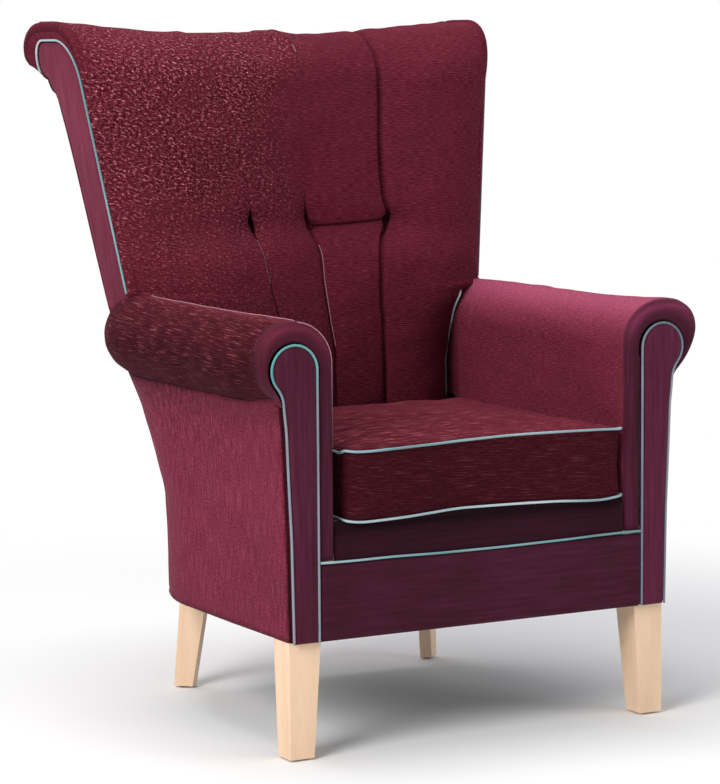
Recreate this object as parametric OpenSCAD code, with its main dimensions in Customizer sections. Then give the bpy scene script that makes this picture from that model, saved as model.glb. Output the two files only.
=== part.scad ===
// Fireside chair: beech frame, sprung seat, padded tub body with rolled arms, a tall
// channelled back with a scrolled top, piped edges and a loose seat cushion.
// X runs across the chair, -Y is its front, Z is up. The origin lies on the floor under
// the middle of the chair's depth. Depths named ..._d are measured back from the plane
// of the arm fronts.

/* [Overall] */
// Height of the underside of the body above the floor
leg_h = 175; // [150:1:200]
// Half width of the seat between the arms
seat_hw = 251; // [247:1:255]
// Depth of the seat from the arm fronts to the valley in the middle of the back
seat_d = 488; // [480:1:496]
// Height of the border under the cushion
border_w = 112; // [104:1:120]
// Height of the seat deck above the body's lower edge
deck_rise = 170; // [166:1:176]
// Rise of the arms above the cushion's top edge
arm_rise = 192; // [184:1:200]

/* [Arms] */
// Radius of the padded arm roll
roll_r = 64; // [62:1:66]
// Thickness of the padding between the roll's surface and the scroll of the arm front
roll_pad = 25; // [24:1:28]
// Thickness of the foam on the inside of the arm
arm_pad_t = 27; // [25:1:29]
// Thickness of the upholstered arm front
front_t = 12; // [10:1:14]
// Radius of the piping cord
pipe_r = 2.5; // [2:0.1:3]
// How far the outside panel's top edge lies outside the middle of the roll
panel_out = 22; // [20:1:24]
// How far the outside panel leans in from there to the lower edge
side_lean = 13; // [11:1:15]
// How far ahead of the back the arm rolls start to turn in
turn_ahead = 43; // [40:1:46]
// Angle that the arm rolls turn through
roll_turn = 32; // [28:1:33]

/* [Body shell] */
// Radius of the rounded rear corners in plan
barrel_r = 325; // [315:1:335]
// Thickness of the outside panels
shell_t = 5; // [4:1:6]
// Distance from the seat's rear to the rear corner seam at the lower edge
corner_behind = 71; // [66:1:76]
// How far the rear corner seam at the lower edge lies inside the body's side
corner_in = 82; // [78:1:86]
// Bulge of the outside back across its width
back_bow = 18; // [14:1:22]

/* [Back] */
// Height of the neck, where the scroll leaves the raked back, above the arms
neck_rise = 304; // [298:1:312]
// How far the profile boards lie outside the middle of the arm rolls
board_out = 7.4; // [6:0.2:9]
// Sideways flare of the back, as a slope
flare = 0.145; // [0.14:0.005:0.15]
// Distance from the seat's rear to the back piping at arm level
piping_behind = 70; // [67:1:73]
// Rake of the back piping, as a slope
rake = 0.1656; // [0.16:0.001:0.17]
// Thickness of the profile board at the side of the back
wing_t = 10; // [9:1:11]
// Radius of the big arc of the scroll board
scroll_r = 80; // [78:1:82]
// Height of the centre of the big arc above the neck
scroll_rise = 16; // [14:1:18]
// Distance between the centres of the big arc and the tip
scroll_reach = 51; // [49:1:54]
// Radius of the scroll board's tip
tip_r = 32; // [30:1:34]
// Distance from the tip's centre forward to the rear corner seam at the neck
neck_in = 22; // [20:1:24]
// Thickness of the padding over the scroll
scroll_pad = 30; // [28:1:32]
// How far the top edge dips in the middle
top_dip = 24; // [20:1:26]
// Half spacing of the outer seams at the tufts
channel_w = 126; // [120:1:132]
// Height of the tufts above the arms
tuft_rise = 97; // [88:1:106]
// Depth of a tuft's pull
tuft_pull = 12; // [8:1:14]
// Crown of the two middle channels
channel_crown = 11; // [9:1:12]
// Crown of the two side channels
side_crown = 18; // [16:1:20]

/* [Seat] */
// Height of the border of the cushion
cushion_border = 106; // [98:1:112]
// Crown of the cushion over its piping
cushion_crown = 20; // [16:1:24]
// Gap between the cushion and each arm
cushion_gap = 6; // [5:1:8]
// Draw of the cushion's sides between its corners
cushion_draw = 5; // [3:1:7]
// Thickness of the cover and wrap around the foam block
wrap_t = 16; // [14:1:18]
// Thickness of the seat deck from the rails to the cushion
deck_t = 45; // [42:1:48]

/* [Frame] */
// Thickness of the beech rails
rail_t = 22; // [20:1:24]
// Width of the arm posts
post_w = 36; // [32:1:38]
// Width of the back posts
back_post_w = 28; // [26:1:30]
// Depth of the back posts
back_post_d = 33; // [31:1:35]
// Size of a front leg at the top
front_leg_top = 51; // [48:1:54]
// Size of a front leg at the foot
front_leg_foot = 39; // [35:1:44]
// Thickness of a rear leg
rear_leg_t = 20; // [18:1:24]
// Width of a rear leg at the top, along its splay
rear_leg_top = 47; // [44:1:48]
// Width of a rear leg at the foot, along its splay
rear_leg_foot = 31; // [28:1:34]
// Splay of a rear leg along the diagonal
rear_splay = 22; // [16:1:24]
// Thickness of the glides under the feet
glide_t = 3; // [2:0.5:4]
// Radius of the glides
glide_r = 8; // [6:0.5:9]
// Number of seat springs
springs = 5; // [4:1:6]

/* [Hidden] */
$fn = 32;
// Clearance between neighbours, and the overrun of every cut
gap = 0.3;
over = 5;

wine = [0.42, 0.12, 0.24];
plum = [0.34, 0.15, 0.28];
teal = [0.45, 0.72, 0.72];
beech = [0.9, 0.78, 0.62];
raw_beech = [0.78, 0.62, 0.42];

// Heights, from the body's lower edge upwards
border_h = leg_h + border_w;
cushion_low = leg_h + deck_rise;
cushion_top = cushion_low + cushion_border;
rail_top_h = cushion_low - deck_t;
arm_h = cushion_top + arm_rise;
tuft_h = arm_h + tuft_rise;
neck_h = arm_h + neck_rise;
scroll_h = neck_h + scroll_rise;

// Arm front: the scroll's centre, its inner edge and the centre of the padded roll
roll_h = arm_h - roll_r;
roll_x = seat_hw + roll_r;
front_in_x = seat_hw + arm_pad_t;
front_scroll_r = roll_r - roll_pad;
scroll_x = front_in_x + front_scroll_r;
// The scroll of the arm front sits a little low in the padded roll
scroll_drop = 7;
front_scroll_h = roll_h - scroll_drop;
// The arm foam ends a little above the seat rails
foot_lift = 4;
arm_foot_h = rail_top_h + foot_lift;

// Half widths of the body, and of the back at arm level
body_top_hw = roll_x + panel_out;
body_hw = body_top_hw - side_lean;
seam_low_hw = body_hw - corner_in;
back_hw = roll_x + board_out;
seam_top_hw = back_hw + neck_rise * flare;

// Depths, from the seat's rear backwards. The big arc of the scroll touches the raked piping.
roll_turn_d = seat_d - turn_ahead;
back_front_d = seat_d + piping_behind;
seam_low_d = seat_d + corner_behind;
lean = atan(rake);
scroll_d = back_front_d + (scroll_h - arm_h) * rake + scroll_r / cos(lean);
tip_d = scroll_d + scroll_reach;
seam_top_d = tip_d - neck_in;
chair_d = tip_d + tip_r + scroll_pad;

// Plane of the arm fronts, and the way from a depth to a place on Y
front_y = -chair_d / 2;
function at(d) = front_y + d;
function mix(a, b, t) = a + (b - a) * t;

// Rear corner seam: shares of the height from the lower edge to the neck, and at each the
// shares of its travel outwards and backwards
body_shares = [0, 0.2, 0.273, 0.365, 0.457, 0.523, 0.569, 0.648, 0.927, 1];
out_shares = [0, 0.012, 0.105, 0.26, 0.46, 0.556, 0.613, 0.685, 0.935, 1];
rear_shares = [0, 0.036, 0.115, 0.23, 0.364, 0.473, 0.521, 0.606, 0.897, 1];
body_rows = [for (s = body_shares) mix(leg_h, neck_h, s)];
function on_seam(z, shares) =
    lookup(z, [for (i = [0 : len(body_rows) - 1]) [body_rows[i], shares[i]]]);
side_shares = [[0, 0], [0.44, 0.2], [0.69, 0.5], [0.9, 0.72], [1, 1]];

function seam_x(z) = mix(seam_low_hw, seam_top_hw, on_seam(z, out_shares));
// Above the neck the rear goes on in the same slope
seam_travel = seam_top_d - seam_low_d;
neck_slope = seam_travel * (1 - rear_shares[8]) / (neck_h - body_rows[8]);
function seam_d(z) = seam_low_d + seam_travel * on_seam(z, rear_shares) + max(0, z - neck_h) * neck_slope;
panel_top_h = roll_h - sqrt(pow(roll_r, 2) - pow(body_top_hw - roll_x, 2)) - gap;
function side_x(z) =
    mix(body_hw, body_top_hw, lookup((z - leg_h) / (panel_top_h - leg_h), side_shares));

// Plan outline of the body at a height: a straight side, then an arc that meets the seam.
// A point is named by its angle on the arc, or by its depth on the straight part.
function turn_at(z) = acos(1 - (side_x(z) - seam_x(z)) / barrel_r);
function arc_d(z) = seam_d(z) - barrel_r * sin(turn_at(z));
function arc_x(z) = side_x(z) - barrel_r;
function on_arc(z, share, inset) =
    let (a = turn_at(z) * share, r = barrel_r - inset)
    [arc_x(z) + r * cos(a), at(arc_d(z) + r * sin(a))];
function on_side(z, share, inset, start_d) =
    [side_x(z) - inset, at(mix(start_d, arc_d(z), share))];

// Back: half width between the profile boards at a height, and the depth of the piping
function back_x(z) = back_hw + (z - arm_h) * flare;
function pipe_d(z) = back_front_d + (z - arm_h) * rake;
flare_angle = atan(flare);
function slope_h(z) = (z - arm_h) / cos(flare_angle);

// Posts, webbing and pads stack forward from the outside back
post_setback = 3;
strap_t = 2;
function post_rear_d(z) = seam_d(z) - shell_t - post_setback;
function post_front_d(z) = post_rear_d(z) - back_post_d;
// The pad keeps a little ease, because the posts curve and its back is cut straight
pad_ease = 2;
function pad_rear_d(z) = post_front_d(z) - strap_t - 2 * gap - pad_ease;

// A closed skin through equal rings of points. A ring is a line of so many points up one
// face and a line back down the other, and a strip between the two lines closes each end.
function reversed(list) = [for (i = [len(list) - 1 : -1 : 0]) list[i]];
function turned(face, flip) = flip ? reversed(face) : face;
function skin_faces(rows, cols) = concat(
    [for (r = [0 : rows - 2], c = [0 : cols - 1])
        let (n = (c + 1) % cols) [r * cols + c, r * cols + n, (r + 1) * cols + n]],
    [for (r = [0 : rows - 2], c = [0 : cols - 1])
        let (n = (c + 1) % cols) [r * cols + c, (r + 1) * cols + n, (r + 1) * cols + c]]);
function strip_cap(start, links, m, flip) =
    let (n = len(links), last = start + n + m - 1)
    [for (i = [0 : n - 2]) let (a = start + i) each concat(
        [for (k = [links[i] : 1 : links[i + 1] - 1]) turned([a, last - k - 1, last - k], flip)],
        [turned([a, a + 1, last - links[i + 1]], flip)])];
// The links say which point of the second line each point of the first one faces
function straight(n) = [for (i = [0 : n - 1]) i];
module skin(rings, links) {
    rows = len(rings);
    cols = len(rings[0]);
    m = cols - len(links);
    polyhedron(
        points = [for (ring = rings) each ring],
        faces = concat(skin_faces(rows, cols), strip_cap(0, links, m, true),
            strip_cap((rows - 1) * cols, links, m, false)));
}
// Points along an arc, ends included, and the radius at which chords of such a step stay
// outside a circle
arc_step = 12;
function chord_r(r, step) = r / cos(step / 2);
function arc(centre, r, from, to) =
    let (n = ceil(abs(to - from) / arc_step))
    [for (i = [0 : n]) let (a = mix(from, to, i / n)) centre + r * [cos(a), sin(a)]];

// A round tube along points, with its end rings square to the path
function unit(v) = v / norm(v);
function tube_ring(p, t, r, sides) =
    let (side = unit(cross(t, [0.3, 0.1, 1])), up = cross(t, side))
    [for (i = [0 : sides - 1]) p + r * (cos(360 * i / sides) * side + sin(360 * i / sides) * up)];
module tube(path, r, sides) {
    last = len(path) - 1;
    rings = [for (i = [0 : last])
        tube_ring(path[i], unit(path[min(i + 1, last)] - path[max(i - 1, 0)]), r, sides)];
    polyhedron(
        points = [for (ring = rings) each ring],
        faces = concat([for (f = skin_faces(last + 1, sides)) reversed(f)],
            [[for (i = [0 : sides - 1]) i]],
            [[for (i = [sides - 1 : -1 : 0]) last * sides + i]]));
}
// The same round a closed path
module ring_tube(path, r, sides) {
    n = len(path);
    rings = [for (i = [0 : n - 1])
        tube_ring(path[i], unit(path[(i + 1) % n] - path[(i + n - 1) % n]), r, sides)];
    polyhedron(
        points = [for (ring = rings) each ring],
        faces = [for (f = skin_faces(n + 1, sides)) [for (k = reversed(f)) k % (n * sides)]]);
}

// A part on the left, and its twin on the right
module left() { mirror([1, 0, 0]) children(); }
module right() { children(); }

// Stands a drawing in X and height upright, from one depth to another
module upright(from_d, to_d) {
    translate([0, at(to_d), 0]) rotate([90, 0, 0]) linear_extrude(to_d - from_d) children();
}
// Stands a drawing in depth and height on its side, between two half widths
module crosswise(from_x, to_x) {
    translate([from_x, 0, 0]) rotate([90, 0, 90]) linear_extrude(to_x - from_x) children();
}
module bar(from_x, to_x, from_d, to_d, from_h, to_h) {
    translate([from_x, at(from_d), from_h]) cube([to_x - from_x, to_d - from_d, to_h - from_h]);
}

// Arm front in X and height: a tapering upright with a scroll rolled outwards at its top
notch_r = 42;
notch_x = body_top_hw + notch_r;
notch_h = front_scroll_h - sqrt(pow(notch_r + front_scroll_r, 2) - pow(notch_x - scroll_x, 2));
notch_angle = atan2(front_scroll_h - notch_h, scroll_x - notch_x);
function arm_outline(grow) = concat(
    [[front_in_x - grow, leg_h]],
    arc([scroll_x, front_scroll_h], front_scroll_r + grow, 180, notch_angle - 180),
    arc([notch_x, notch_h], notch_r - grow, notch_angle, 180),
    [[side_x(border_h) + grow, border_h], [side_x(leg_h) + grow, leg_h]]);
// Cross section of the arm's padding: inside slab, roll over the top and outer lobe
module arm_pad_shape(low) {
    difference() {
        union() {
            translate([roll_x, roll_h]) circle(roll_r);
            translate([seat_hw, low]) square([arm_pad_t, roll_h - low]);
        }
        polygon(arm_outline(gap));
    }
}
// The two halves of that section, parted above the middle of the scroll
module arm_inner_shape(low) {
    intersection() {
        arm_pad_shape(low);
        translate([seat_hw - over, low]) square([scroll_x - seat_hw + over, arm_h]);
    }
}
module arm_lobe_shape() {
    difference() {
        translate([roll_x, roll_h]) circle(roll_r);
        polygon(arm_outline(gap));
        translate([0, roll_h - 2 * roll_r]) square([scroll_x, 4 * roll_r]);
    }
}

// Legs
module front_leg() {
    color(beech)
    difference() {
        translate([body_hw - front_leg_top, at(front_t), glide_t])
            cube([front_leg_top, front_leg_top, leg_h - glide_t]);
        lean = atan((front_leg_top - front_leg_foot) / (leg_h - glide_t));
        translate([body_hw - front_leg_foot, at(front_t) - over, glide_t])
            rotate([0, -lean, 0]) translate([-2 * front_leg_top, 0, -leg_h])
            cube([2 * front_leg_top, front_leg_top + 2 * over, 3 * leg_h]);
        translate([body_hw - front_leg_top - over, at(front_t) + front_leg_foot, glide_t])
            rotate([-lean, 0, 0]) translate([0, 0, -leg_h])
            cube([front_leg_top + 2 * over, 2 * front_leg_top, 3 * leg_h]);
        translate([front_bolt_x, at(front_bolt_d), leg_h - bolt_in - gap])
            cylinder(bolt_in + over, r = bolt_r + gap);
        translate([front_glide_x, at(front_glide_d), 0])
            cylinder(glide_t + pin_in + gap, r = glide_pin_r + gap);
    }
}
// A rear leg's blade stands on the diagonal, and its bolt is set inwards of its middle
leg_in_x = 29.5;
leg_in_d = 10.5;
rear_top_x = seam_low_hw - leg_in_x;
rear_top_d = seam_low_d - leg_in_d;
bolt_inset = 3.5;
rear_bolt_x = rear_top_x - bolt_inset;
rear_bolt_d = rear_top_d - bolt_inset;
module rear_leg() {
    foot_shift = rear_splay / sqrt(2);
    color(beech)
    difference() {
        translate([rear_top_x, at(rear_top_d), 0]) rotate([0, 0, 45]) difference() {
            rotate([0, atan(rear_splay / leg_h), 0])
            translate([-leg_h, -rear_leg_t / 2, -leg_h]) cube([2 * leg_h, rear_leg_t, 3 * leg_h]);
            rear_cut(1);
            rear_cut(-1);
            translate([-2 * leg_h, -leg_h, leg_h]) cube([4 * leg_h, 2 * leg_h, 3 * leg_h]);
            translate([-2 * leg_h, -leg_h, glide_t - 3 * leg_h]) cube([4 * leg_h, 2 * leg_h, 3 * leg_h]);
        }
        translate([rear_bolt_x, at(rear_bolt_d), leg_h - bolt_in - gap])
            cylinder(bolt_in + over, r = bolt_r + gap);
        translate([rear_top_x + foot_shift, at(rear_top_d) + foot_shift, 0])
            cylinder(glide_t + pin_in + gap, r = glide_pin_r + gap);
    }
}
// Removes what lies beyond one edge of the rear leg, whose edges run from foot to top
module rear_cut(side) {
    foot_x = rear_splay + side * rear_leg_foot / 2;
    top_x = side * rear_leg_top / 2;
    rotate([90, 0, 0]) translate([0, 0, -leg_h]) linear_extrude(2 * leg_h) polygon([
        [foot_x + (foot_x - top_x) * over / leg_h, -over],
        [top_x - (foot_x - top_x) * over / leg_h, leg_h + over],
        [side * 3 * leg_h, leg_h + over], [side * 3 * leg_h, -over]]);
}
// Hanger bolts from the legs into the posts, and glides with their pins
bolt_r = 4;
bolt_in = 40;
bolt_up = 30;
glide_pin_r = 1.5;
pin_in = 12;
front_bolt_x = body_hw - front_leg_top / 2 - shell_t;
front_bolt_d = front_t + front_leg_top / 2 - shell_t;
front_glide_x = body_hw - front_leg_foot / 2;
front_glide_d = front_t + front_leg_foot / 2;
module leg_bolts() {
    color("silver")
    for (side = [-1, 1], spot = [[front_bolt_x, front_bolt_d], [rear_bolt_x, rear_bolt_d]])
        translate([side * spot[0], at(spot[1]), leg_h - bolt_in]) cylinder(bolt_in + bolt_up, r = bolt_r);
}
module foot_glides() {
    foot_shift = rear_splay / sqrt(2);
    color("dimgray")
    for (side = [-1, 1], spot = [[front_glide_x, front_glide_d],
        [rear_top_x + foot_shift, rear_top_d + foot_shift]])
        translate([side * spot[0], at(spot[1]), 0]) {
            cylinder(glide_t, r = glide_r);
            cylinder(glide_t + pin_in, r = glide_pin_r);
        }
}

// Seat frame
post_out_x = body_hw - shell_t - gap;
post_in_x = post_out_x - post_w;
post_depth = 40;
post_rear = front_t + post_depth;
front_rail_hw = post_in_x;
back_post_in_low = seam_low_hw - wing_t - back_post_w - gap;
module front_seat_rail() {
    color(raw_beech) bar(-front_rail_hw, front_rail_hw, front_t, front_t + rail_t, leg_h, rail_top_h);
}
rear_rail_d = post_rear_d(leg_h) - over - rail_t;
// Bulge of the outside back at a share of its half width
function bow(s) = back_bow * (1 - pow(s, 2));
back_cols = [-1, -0.85, -0.6, -0.3, 0, 0.3, 0.6, 0.85, 1];
module rear_seat_rail() {
    color(raw_beech) translate([0, 0, leg_h]) linear_extrude(rail_top_h - leg_h) polygon(concat(
        [[-back_post_in_low, at(rear_rail_d)], [back_post_in_low, at(rear_rail_d)]],
        [for (s = reversed(back_cols)) let (t = s * back_post_in_low / seam_low_hw)
            [s * back_post_in_low, at(seam_low_d + bow(t) - shell_t - gap)]]));
}
// Side rail in plan: follows the inside of the shell, and stops against the back post
arc_shares = [0, 0.15, 0.3, 0.45, 0.6, 0.75, 0.9, 1];
rail_shares = [0, 0.15, 0.3, 0.45, 0.6, 0.75, 0.9, 0.96];
module seat_rail() {
    outer = shell_t + gap;
    inner = outer + rail_t;
    color(raw_beech)
    difference() {
        translate([0, 0, leg_h]) linear_extrude(rail_top_h - leg_h) polygon(concat(
            [on_side(leg_h, 0, outer, post_rear)],
            [for (s = rail_shares) on_arc(leg_h, s, outer)],
            reversed([for (s = rail_shares) on_arc(leg_h, s, inner)]),
            [on_side(leg_h, 0, inner, post_rear)]));
        bar(0, back_post_out(rail_top_h), post_front_d(leg_h) - over, chair_d, 0, arm_h);
    }
}
block_s = 52;
module corner_blocks() {
    color(raw_beech)
    for (side = [0, 1]) mirror([side, 0, 0]) {
        translate([0, 0, rail_top_h - block_s - rail_t]) linear_extrude(block_s) polygon([
            [post_in_x, at(front_t + rail_t)], [post_in_x - block_s, at(front_t + rail_t)],
            [post_in_x, at(front_t + rail_t + block_s)]]);
        translate([0, 0, rail_top_h - block_s - rail_t]) linear_extrude(block_s) polygon([
            [back_post_in_low, at(rear_rail_d)],
            [back_post_in_low, at(rear_rail_d - block_s / 2)],
            [back_post_in_low - block_s, at(rear_rail_d)]]);
    }
}

// Arm frame
arm_post_top = roll_h - rail_t;
module arm_post() {
    color(raw_beech) difference() {
        bar(post_in_x, post_out_x, front_t, post_rear, leg_h, arm_post_top);
        translate([front_bolt_x, at(front_bolt_d), leg_h - over])
            cylinder(bolt_up + over + gap, r = bolt_r + gap);
    }
}
// The arm rail lies flat on its post, and turns in behind the seat to meet the back post
arm_rail_hw = 23;
arm_rail_end_d = post_front_d(arm_post_top) - gap;
module arm_rail() {
    color(raw_beech) translate([0, 0, arm_post_top]) linear_extrude(rail_t) polygon([
        [scroll_x - arm_rail_hw, at(front_t)], [scroll_x + arm_rail_hw, at(front_t)],
        [scroll_x + arm_rail_hw, at(roll_turn_d)],
        [back_post_out(arm_post_top), at(arm_rail_end_d)],
        [back_post_out(arm_post_top) - rail_t, at(arm_rail_end_d)],
        [scroll_x - arm_rail_hw, at(roll_turn_d)]]);
}
tacking_h = arm_foot_h + rail_t;
tacking_top = tacking_h + 2 * rail_t;
// The tacking rail passes outside the seat's corner and ends beside the back post
tacking_shares = [0.7, 0.8, 0.9];
module tacking_rail() {
    in = front_in_x + gap;
    corner_d = pad_rear_d(tacking_top) + pad_ease;
    post_x = back_post_out(tacking_top) + gap;
    bend = [for (s = tacking_shares) on_arc(tacking_h, s, shell_t + gap)];
    color(raw_beech) translate([0, 0, tacking_h]) linear_extrude(tacking_top - tacking_h) polygon(concat(
        [[in, at(post_rear)], [in + rail_t, at(post_rear)], [in + rail_t, at(roll_turn_d)]],
        bend,
        [[post_x, bend[len(bend) - 1][1]], [post_x, at(corner_d)], [seat_hw, at(corner_d)],
            [seat_hw, at(corner_d - 2 * rail_t)], [in, at(roll_turn_d)]]));
}

// Back frame
function back_post_out(z) = seam_x(z) - wing_t - gap;
module back_post() {
    color(raw_beech) difference() {
        skin([for (z = body_rows)
            let (xo = back_post_out(z), xi = xo - back_post_w,
                f = at(post_front_d(z)), r = at(post_rear_d(z)))
            [[xo, f, z], [xi, f, z], [xi, r, z], [xo, r, z]]], straight(2));
        translate([rear_bolt_x, at(rear_bolt_d), leg_h - over])
            cylinder(bolt_up + over + gap, r = bolt_r + gap);
    }
}
// A rail between the back posts, with ends and faces that follow them
module post_rail(low, high) {
    color(raw_beech) skin([for (z = concat([low], [for (h = body_rows) if (h > low && h < high) h], [high]))
        let (x = back_post_out(z) - back_post_w - gap, f = at(post_front_d(z)), r = f + rail_t)
        [[x, f, z], [-x, f, z], [-x, r, z], [x, r, z]]], straight(2));
}
module lower_back_rail() { post_rail(cushion_low + rail_t, cushion_low + 3 * rail_t); }
module middle_back_rail() { post_rail(arm_h - rail_t, arm_h + 2 * rail_t); }

// Top rail: stands on the posts and fills the scroll, low enough for the dip in the middle
tip_h = scroll_h + scroll_r - tip_r;
board_r = scroll_r - pipe_r;
board_tip_r = tip_r - pipe_r;
rail_tip_h = tip_h - top_dip;
rail_top = rail_tip_h + board_tip_r;
rail_low = rail_tip_h - board_tip_r;
rail_round = 25;
rail_front_d = post_front_d(neck_h);
rail_round_spot = [rail_front_d + rail_round, rail_top - rail_round];
module top_rail() {
    color(raw_beech) intersection() {
        crosswise(-chair_d, chair_d) translate([front_y, 0]) polygon(concat(
            [[rail_front_d, neck_h + gap]],
            arc(rail_round_spot, rail_round, 180, 90),
            arc([tip_d, rail_tip_h], board_tip_r, 90, -90),
            [[post_rear_d(neck_h), rail_low], [post_rear_d(neck_h), neck_h + gap]]));
        rotate([90, 0, 0]) translate([0, 0, -chair_d]) linear_extrude(2 * chair_d) polygon([
            [-rail_hw(neck_h), neck_h], [rail_hw(neck_h), neck_h],
            [rail_hw(rail_top + over), rail_top + over], [-rail_hw(rail_top + over), rail_top + over]]);
    }
}
function rail_hw(z) = back_x(z) - wing_t - 3 * gap;

// Profile board at the side of the back, drawn in depth and height on its slope
function board(d, z) = [at(d), slope_h(z)];
board_low = arm_h - roll_r / 2;
board_rows = concat([board_low], [for (z = body_rows) if (z > board_low) z]);
// The hollow under the tip touches the tip and the line of the rear corner seam
hollow_r = 20;
seam_lean = atan(neck_slope);
hollow_h = tip_h - board_tip_r - hollow_r;
hollow_low = hollow_h + hollow_r * sin(seam_lean);
function board_rear_d(z) = seam_d(z) - shell_t - 2 * gap;
hollow_d = board_rear_d(neck_h) + (hollow_low - neck_h) * neck_slope + hollow_r * cos(seam_lean);
module back_board_shape() {
    polygon(concat(
        [board(pipe_d(board_low) + pipe_r, board_low)],
        arc(board(scroll_d, scroll_h), board_r, 180 - lean, 90),
        arc(board(tip_d, tip_h), board_tip_r, 90, -90),
        arc(board(hollow_d, hollow_h), hollow_r, 90, 180 - seam_lean),
        [for (z = reversed(board_rows)) board(board_rear_d(z), z)]));
}
// Sets a drawing made in depth and height onto the sloping side of the back
module on_flare(thick) {
    translate([back_hw - thick, 0, arm_h]) rotate([0, flare_angle, 0])
        rotate([90, 0, 90]) linear_extrude(thick) children();
}
// The solid of the arm's roll, used to seat the board on it
module roll_solid(grow) {
    translate([0, at(roll_turn_d), 0]) rotate_extrude(angle = roll_turn)
        translate([roll_x, roll_h]) circle(roll_r + grow);
}
module back_facing() {
    color(plum) difference() {
        on_flare(wing_t) back_board_shape();
        roll_solid(gap);
    }
}
// Piping outside the front and top edges of the board, from the arm to the tip
piping_out = (pipe_r + gap) / cos(flare_angle);
module back_piping() {
    outline = concat(
        [[pipe_d(arm_h + pipe_r), arm_h + pipe_r]],
        arc([scroll_d, scroll_h], scroll_r, 180 - lean, 90),
        arc([tip_d, tip_h], tip_r, 90, -75));
    color(teal) tube([for (p = outline) [back_x(p[1]) + piping_out, at(p[0]), p[1]]], pipe_r, 6);
}

// Inner back: a padded form with four channels, tufts and a scrolled top.
// The line of its middle valley, as heights and shares of its travel to the rear
valley_travel = 98;
valley_heights = [cushion_low, cushion_top, mix(leg_h, neck_h, 0.48),
    mix(leg_h, neck_h, 0.566), mix(leg_h, neck_h, 0.665), tuft_h, mix(tuft_h, neck_h, 0.28),
    mix(tuft_h, neck_h, 0.73), scroll_h];
valley_shares = [0, 0, 0.06, 0.19, 0.41, 0.68, 0.77, 0.88, 1];
function valley(z) = seat_d + valley_travel
    * lookup(z, [for (i = [0 : len(valley_shares) - 1]) [valley_heights[i], valley_shares[i]]]);
// How far the outer seams stand forward of the middle one, and how far out they lie
seam_forward = 20;
forward_shares = [[0, 0.3], [0.35, 0.35], [0.57, 1], [1, 0.6]];
channel_shares = [[0, 0.7], [0.33, 0.76], [0.48, 0.92], [0.64, 1], [0.83, 1.07], [1, 1.2]];
function pad_share(z) = (z - cushion_low) / (scroll_h - cushion_low);
function forward_at(z) = seam_forward * lookup(pad_share(z), forward_shares);
function channel_x(z) = channel_w * lookup(pad_share(z), channel_shares);
// Half width of the pad: between the arms, over their rolls, and then out to the boards.
// Its rows over the roll are set a step of its turn apart.
roll_step = 22.5;
turned_in_r = scroll_x - gap;
function pad_hw(z) =
    z < roll_h ? seat_hw - gap
    : z <= arm_h ? min(
        roll_x - chord_r(roll_r + pad_ease, roll_step) * sqrt(1 - pow((z - roll_h) / roll_r, 2)),
        sqrt(pow(turned_in_r, 2) - pow(edge_d(z) - roll_turn_d, 2)))
    : back_x(z);
// Depth of the pad's side edge: against the arm it bulges by shares of its draw
edge_forward = 42;
edge_shares = [[0, 1], [0.18, 0.67], [0.36, 0.43], [0.55, 0.43], [0.7, 0.67], [0.88, 0.86],
    [0.97, 0.43], [1, 0]];
function edge_d(z) = z > arm_h ? pipe_d(z) - pipe_r
    : back_front_d - pipe_r
        - edge_forward * lookup((z - cushion_low) / (arm_h - cushion_low), edge_shares);
// Pull of the tufts on the surface: full at the seams, a crease between them, fading outwards
tuft_reach = 20;
crease_share = 0.35;
fade_share = 0.16;
function pull(z) = tuft_pull * exp(-pow((z - tuft_h) / tuft_reach, 2));
function front_d(x, z) =
    let (w = channel_x(z), side = valley(z) - forward_at(z), u = x / w, v = (x - w) / (pad_hw(z) - w))
    x <= w
    ? mix(valley(z), side, pow(u, 2)) - channel_crown * pow(sin(180 * u), 0.6)
        + pull(z) * mix(crease_share, 1, pow(2 * u - 1, 4))
    : mix(side, edge_d(z), pow(v, 3)) - side_crown * pow(sin(180 * v), 0.6)
        + pull(z) * exp(-pow(v / fade_share, 2));
// Columns of one half: shares of the way to the seam, shares of the way from there to the
// edge, and the lip that laps over the board's front edge
channel_columns = [for (s = [0.18, 0.5, 0.82, 1]) ["channel", s]];
side_columns = [for (s = [0.12, 0.35, 0.62, 0.84]) ["side", s]];
lip_columns = [["inner", 2], ["lip", 1], ["lip", 0]];
half_columns = concat(channel_columns, side_columns, lip_columns);
columns = concat([for (c = reversed(half_columns)) concat([-1], c)], [[1, "channel", 0]],
    [for (c = half_columns) concat([1], c)]);
function is_lip(c) = c[1] == "lip";
// The lip starts at the board's inner face, and below the arm's top it closes up
function lip_w(z) = z > arm_h ? wing_t + gap : 2 * gap;
function half_x(c, z) =
    c[1] == "channel" ? c[2] * channel_x(z)
    : c[1] == "side" ? mix(channel_x(z), pad_hw(z), c[2])
    : c[1] == "inner" ? pad_hw(z) - lip_w(z) - gap
    : pad_hw(z) - c[2] * lip_w(z);
function column_x(c, z) = c[0] * half_x(c, z);
roll_heights = [for (a = [0 : roll_step : 90]) roll_h + roll_r * sin(a)];
row_heights = concat(
    [cushion_low, cushion_top],
    [mix(cushion_top, roll_h, 0.5)],
    roll_heights, [arm_h + gap],
    [for (s = [0.35, 0.7, 0.88, 1]) mix(arm_h, tuft_h, s)],
    [for (s = [0.09, 0.25, 0.55, 0.8]) mix(tuft_h, scroll_h, s)]);
rear_heights = concat([cushion_low, cushion_top], roll_heights, [arm_h + gap],
    [for (i = [len(body_rows) - 2, len(body_rows) - 1]) body_rows[i]]);
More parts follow.
